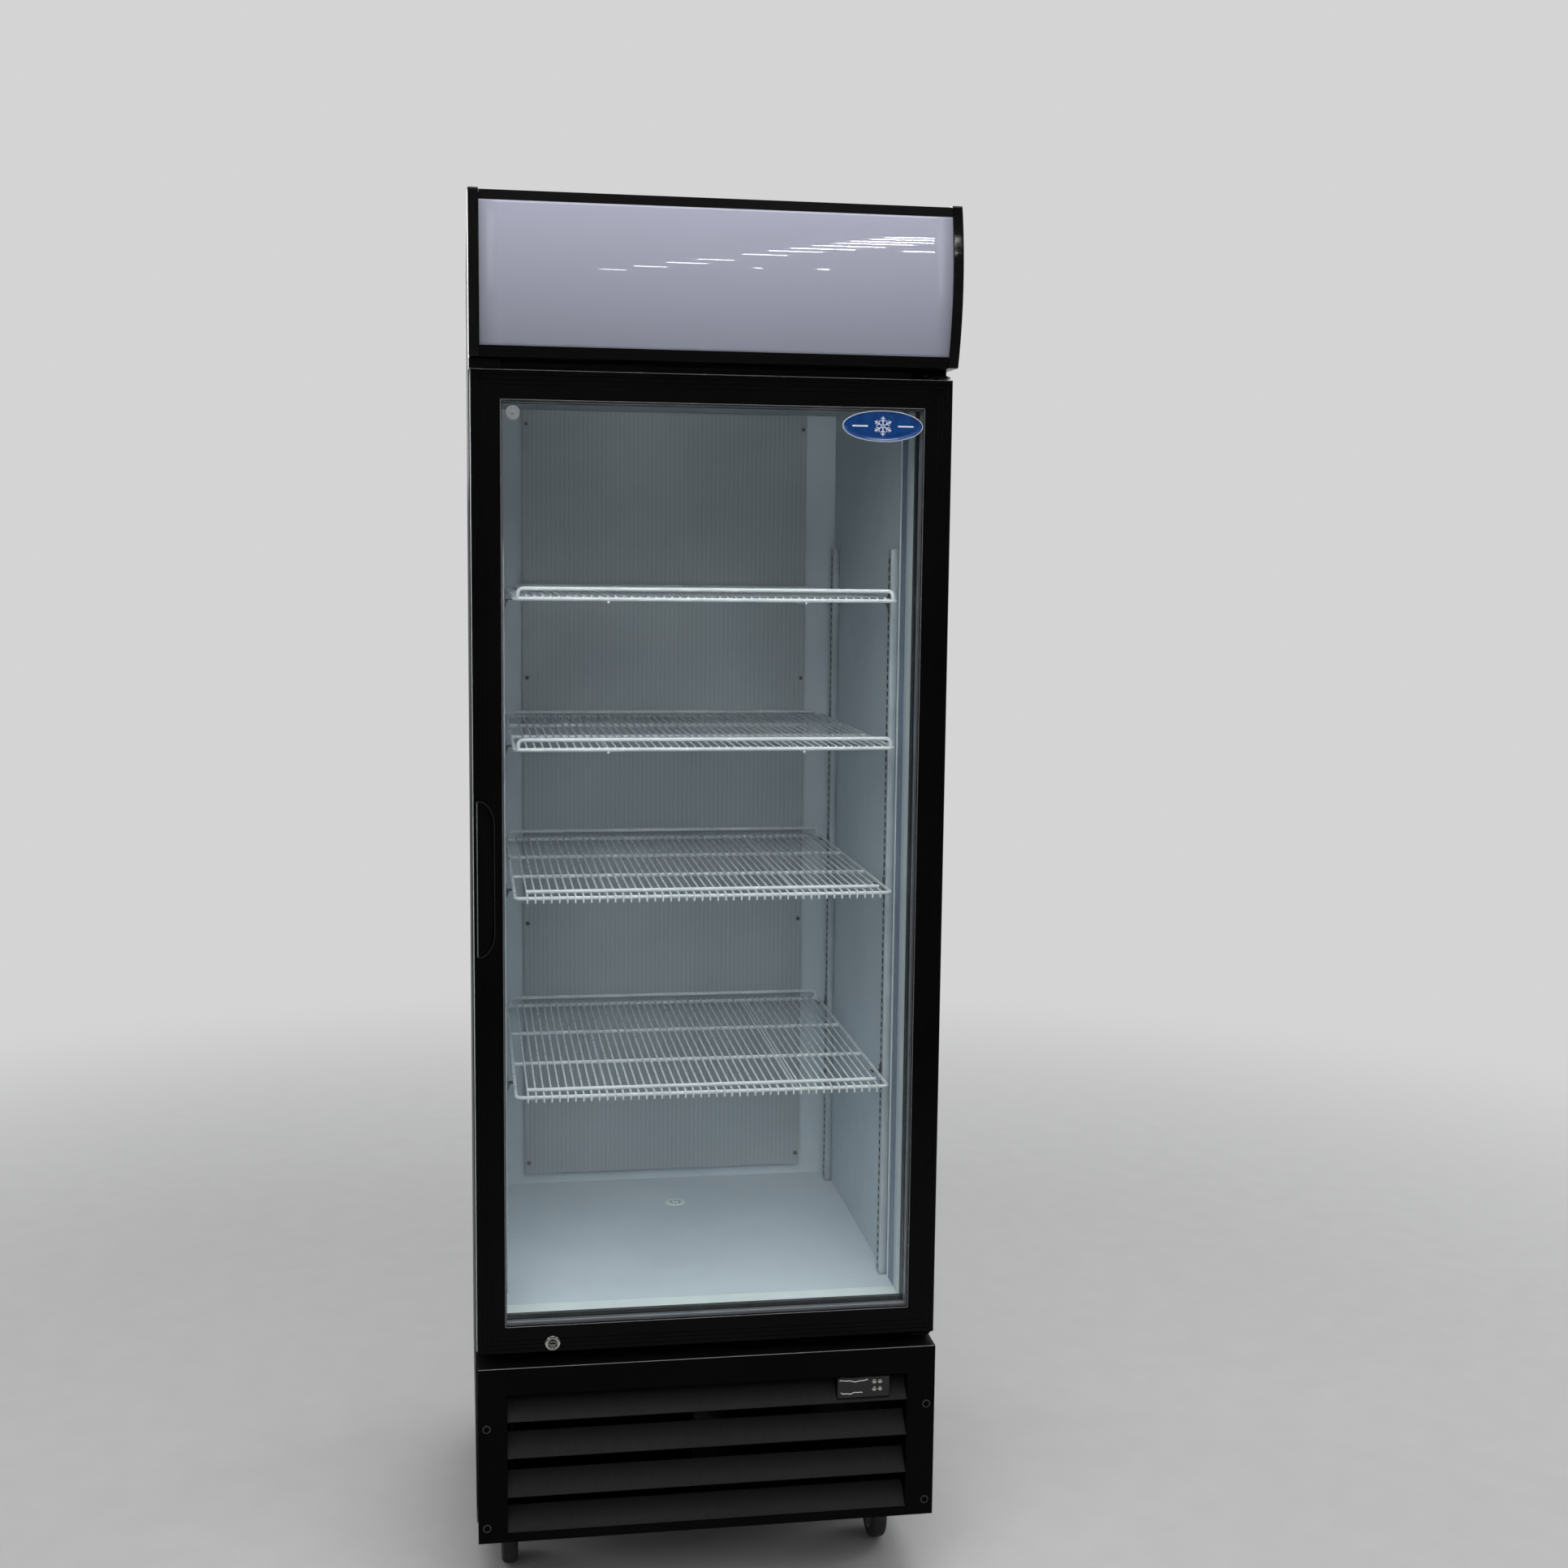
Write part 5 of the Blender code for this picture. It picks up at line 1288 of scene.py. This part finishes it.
# -------------------------------------------------------------------- casters
def build_caster(tag):
    """A swivel caster: ball race, bent fork, axle bolt and a tyred wheel."""
    fork, wheel = f"caster_fork_{tag}", f"caster_wheel_{tag}"
    low, high = span(fork)
    wheel_low, wheel_high = span(wheel)
    hub = (wheel_low + wheel_high) / 2
    swivel_x = (low.x + high.x) / 2
    swivel_y = hub.y - 34 * MM
    bm = bmesh.new()
    lathe(bm, [
        (0, high.z - 0.1 * MM), (30 * MM, high.z - 0.1 * MM), (30.8 * MM, high.z - 2 * MM),
        (30 * MM, high.z - 5.5 * MM), (27.5 * MM, high.z - 6.5 * MM),
        (27.5 * MM, high.z - 8 * MM), (30 * MM, high.z - 9 * MM), (29 * MM, high.z - 13 * MM),
        (24 * MM, high.z - 15.4 * MM), (0, high.z - 15.4 * MM)],
        (swivel_x, swivel_y, 0), (0, 0, 1), 40)
    outline = [
        (swivel_y - 23 * MM, high.z - 14 * MM), (swivel_y - 22 * MM, high.z - 24 * MM),
        (hub.y - 13 * MM, hub.z - 2 * MM),
        *arc((hub.y, hub.z), 13 * MM, 13 * MM, 190, 350, 10),
        (swivel_y + 24 * MM, high.z - 26 * MM), (swivel_y + 23 * MM, high.z - 14 * MM),
    ]
    for sign in (-1, 1):
        a, b = sorted((swivel_x + sign * 15.9 * MM, swivel_x + sign * 18.7 * MM))
        slab(bm, outline, a, b, "X")
        lathe(bm, [
            (0, 0), (6.5 * MM, 0), (6.5 * MM, 2.2 * MM), (5.6 * MM, 3.4 * MM), (0, 3.6 * MM)],
            (swivel_x + sign * 18.7 * MM, hub.y, hub.z), (sign, 0, 0), 6)
    piece(f"detailed_{fork}", bm, "fork", f"caster_{tag}", [fork],
          bevel=0.5 * MM, angle=45)

    radius = hub.z
    bm = bmesh.new()
    half = 15 * MM
    lathe(bm, [
        (5 * MM, -half), (13 * MM, -half), (14.5 * MM, -half + 1 * MM), (17 * MM, -9.5 * MM),
        (33 * MM, -9.0 * MM), (36 * MM, -11.5 * MM), (36 * MM, 11.5 * MM),
        (33 * MM, 9.0 * MM), (17 * MM, 9.5 * MM), (14.5 * MM, half - 1 * MM), (13 * MM, half),
        (5 * MM, half), (5 * MM, -half)], (hub.x, hub.y, hub.z), (1, 0, 0), 48, 1)
    lathe(bm, [
        (36 * MM, -12 * MM), (42 * MM, -12.4 * MM), (46.5 * MM, -11.6 * MM),
        (radius - 1.0 * MM, -9.2 * MM), (radius - 0.05 * MM, -6 * MM), (radius - 0.05 * MM, 6 * MM),
        (radius - 1.0 * MM, 9.2 * MM), (46.5 * MM, 11.6 * MM), (42 * MM, 12.4 * MM),
        (36 * MM, 12 * MM), (36 * MM, -12 * MM)], (hub.x, hub.y, hub.z), (1, 0, 0), 64, 0)
    bmesh.ops.remove_doubles(bm, verts=bm.verts, dist=1e-6)
    piece(f"detailed_{wheel}", bm, ["tread", "hub"], f"wheel_{tag}", [wheel],
          angle=40)


# ----------------------------------------------------------------------- build
make_camera()
make_world()
make_floor()
make_lights()
finish_cad_nodes()
for shelf_number in range(1, 5):
    build_shelf(shelf_number)
for pilaster_end in ("front", "rear"):
    for pilaster_side in ("left", "right"):
        build_pilaster(pilaster_end, pilaster_side)
build_header()
build_handle()
build_lock()
build_glazing()
build_badge()
build_interior()
build_controller()
build_screws()
build_coil()
for caster_tag in ("front_left", "front_right", "rear_left", "rear_right"):
    build_caster(caster_tag)
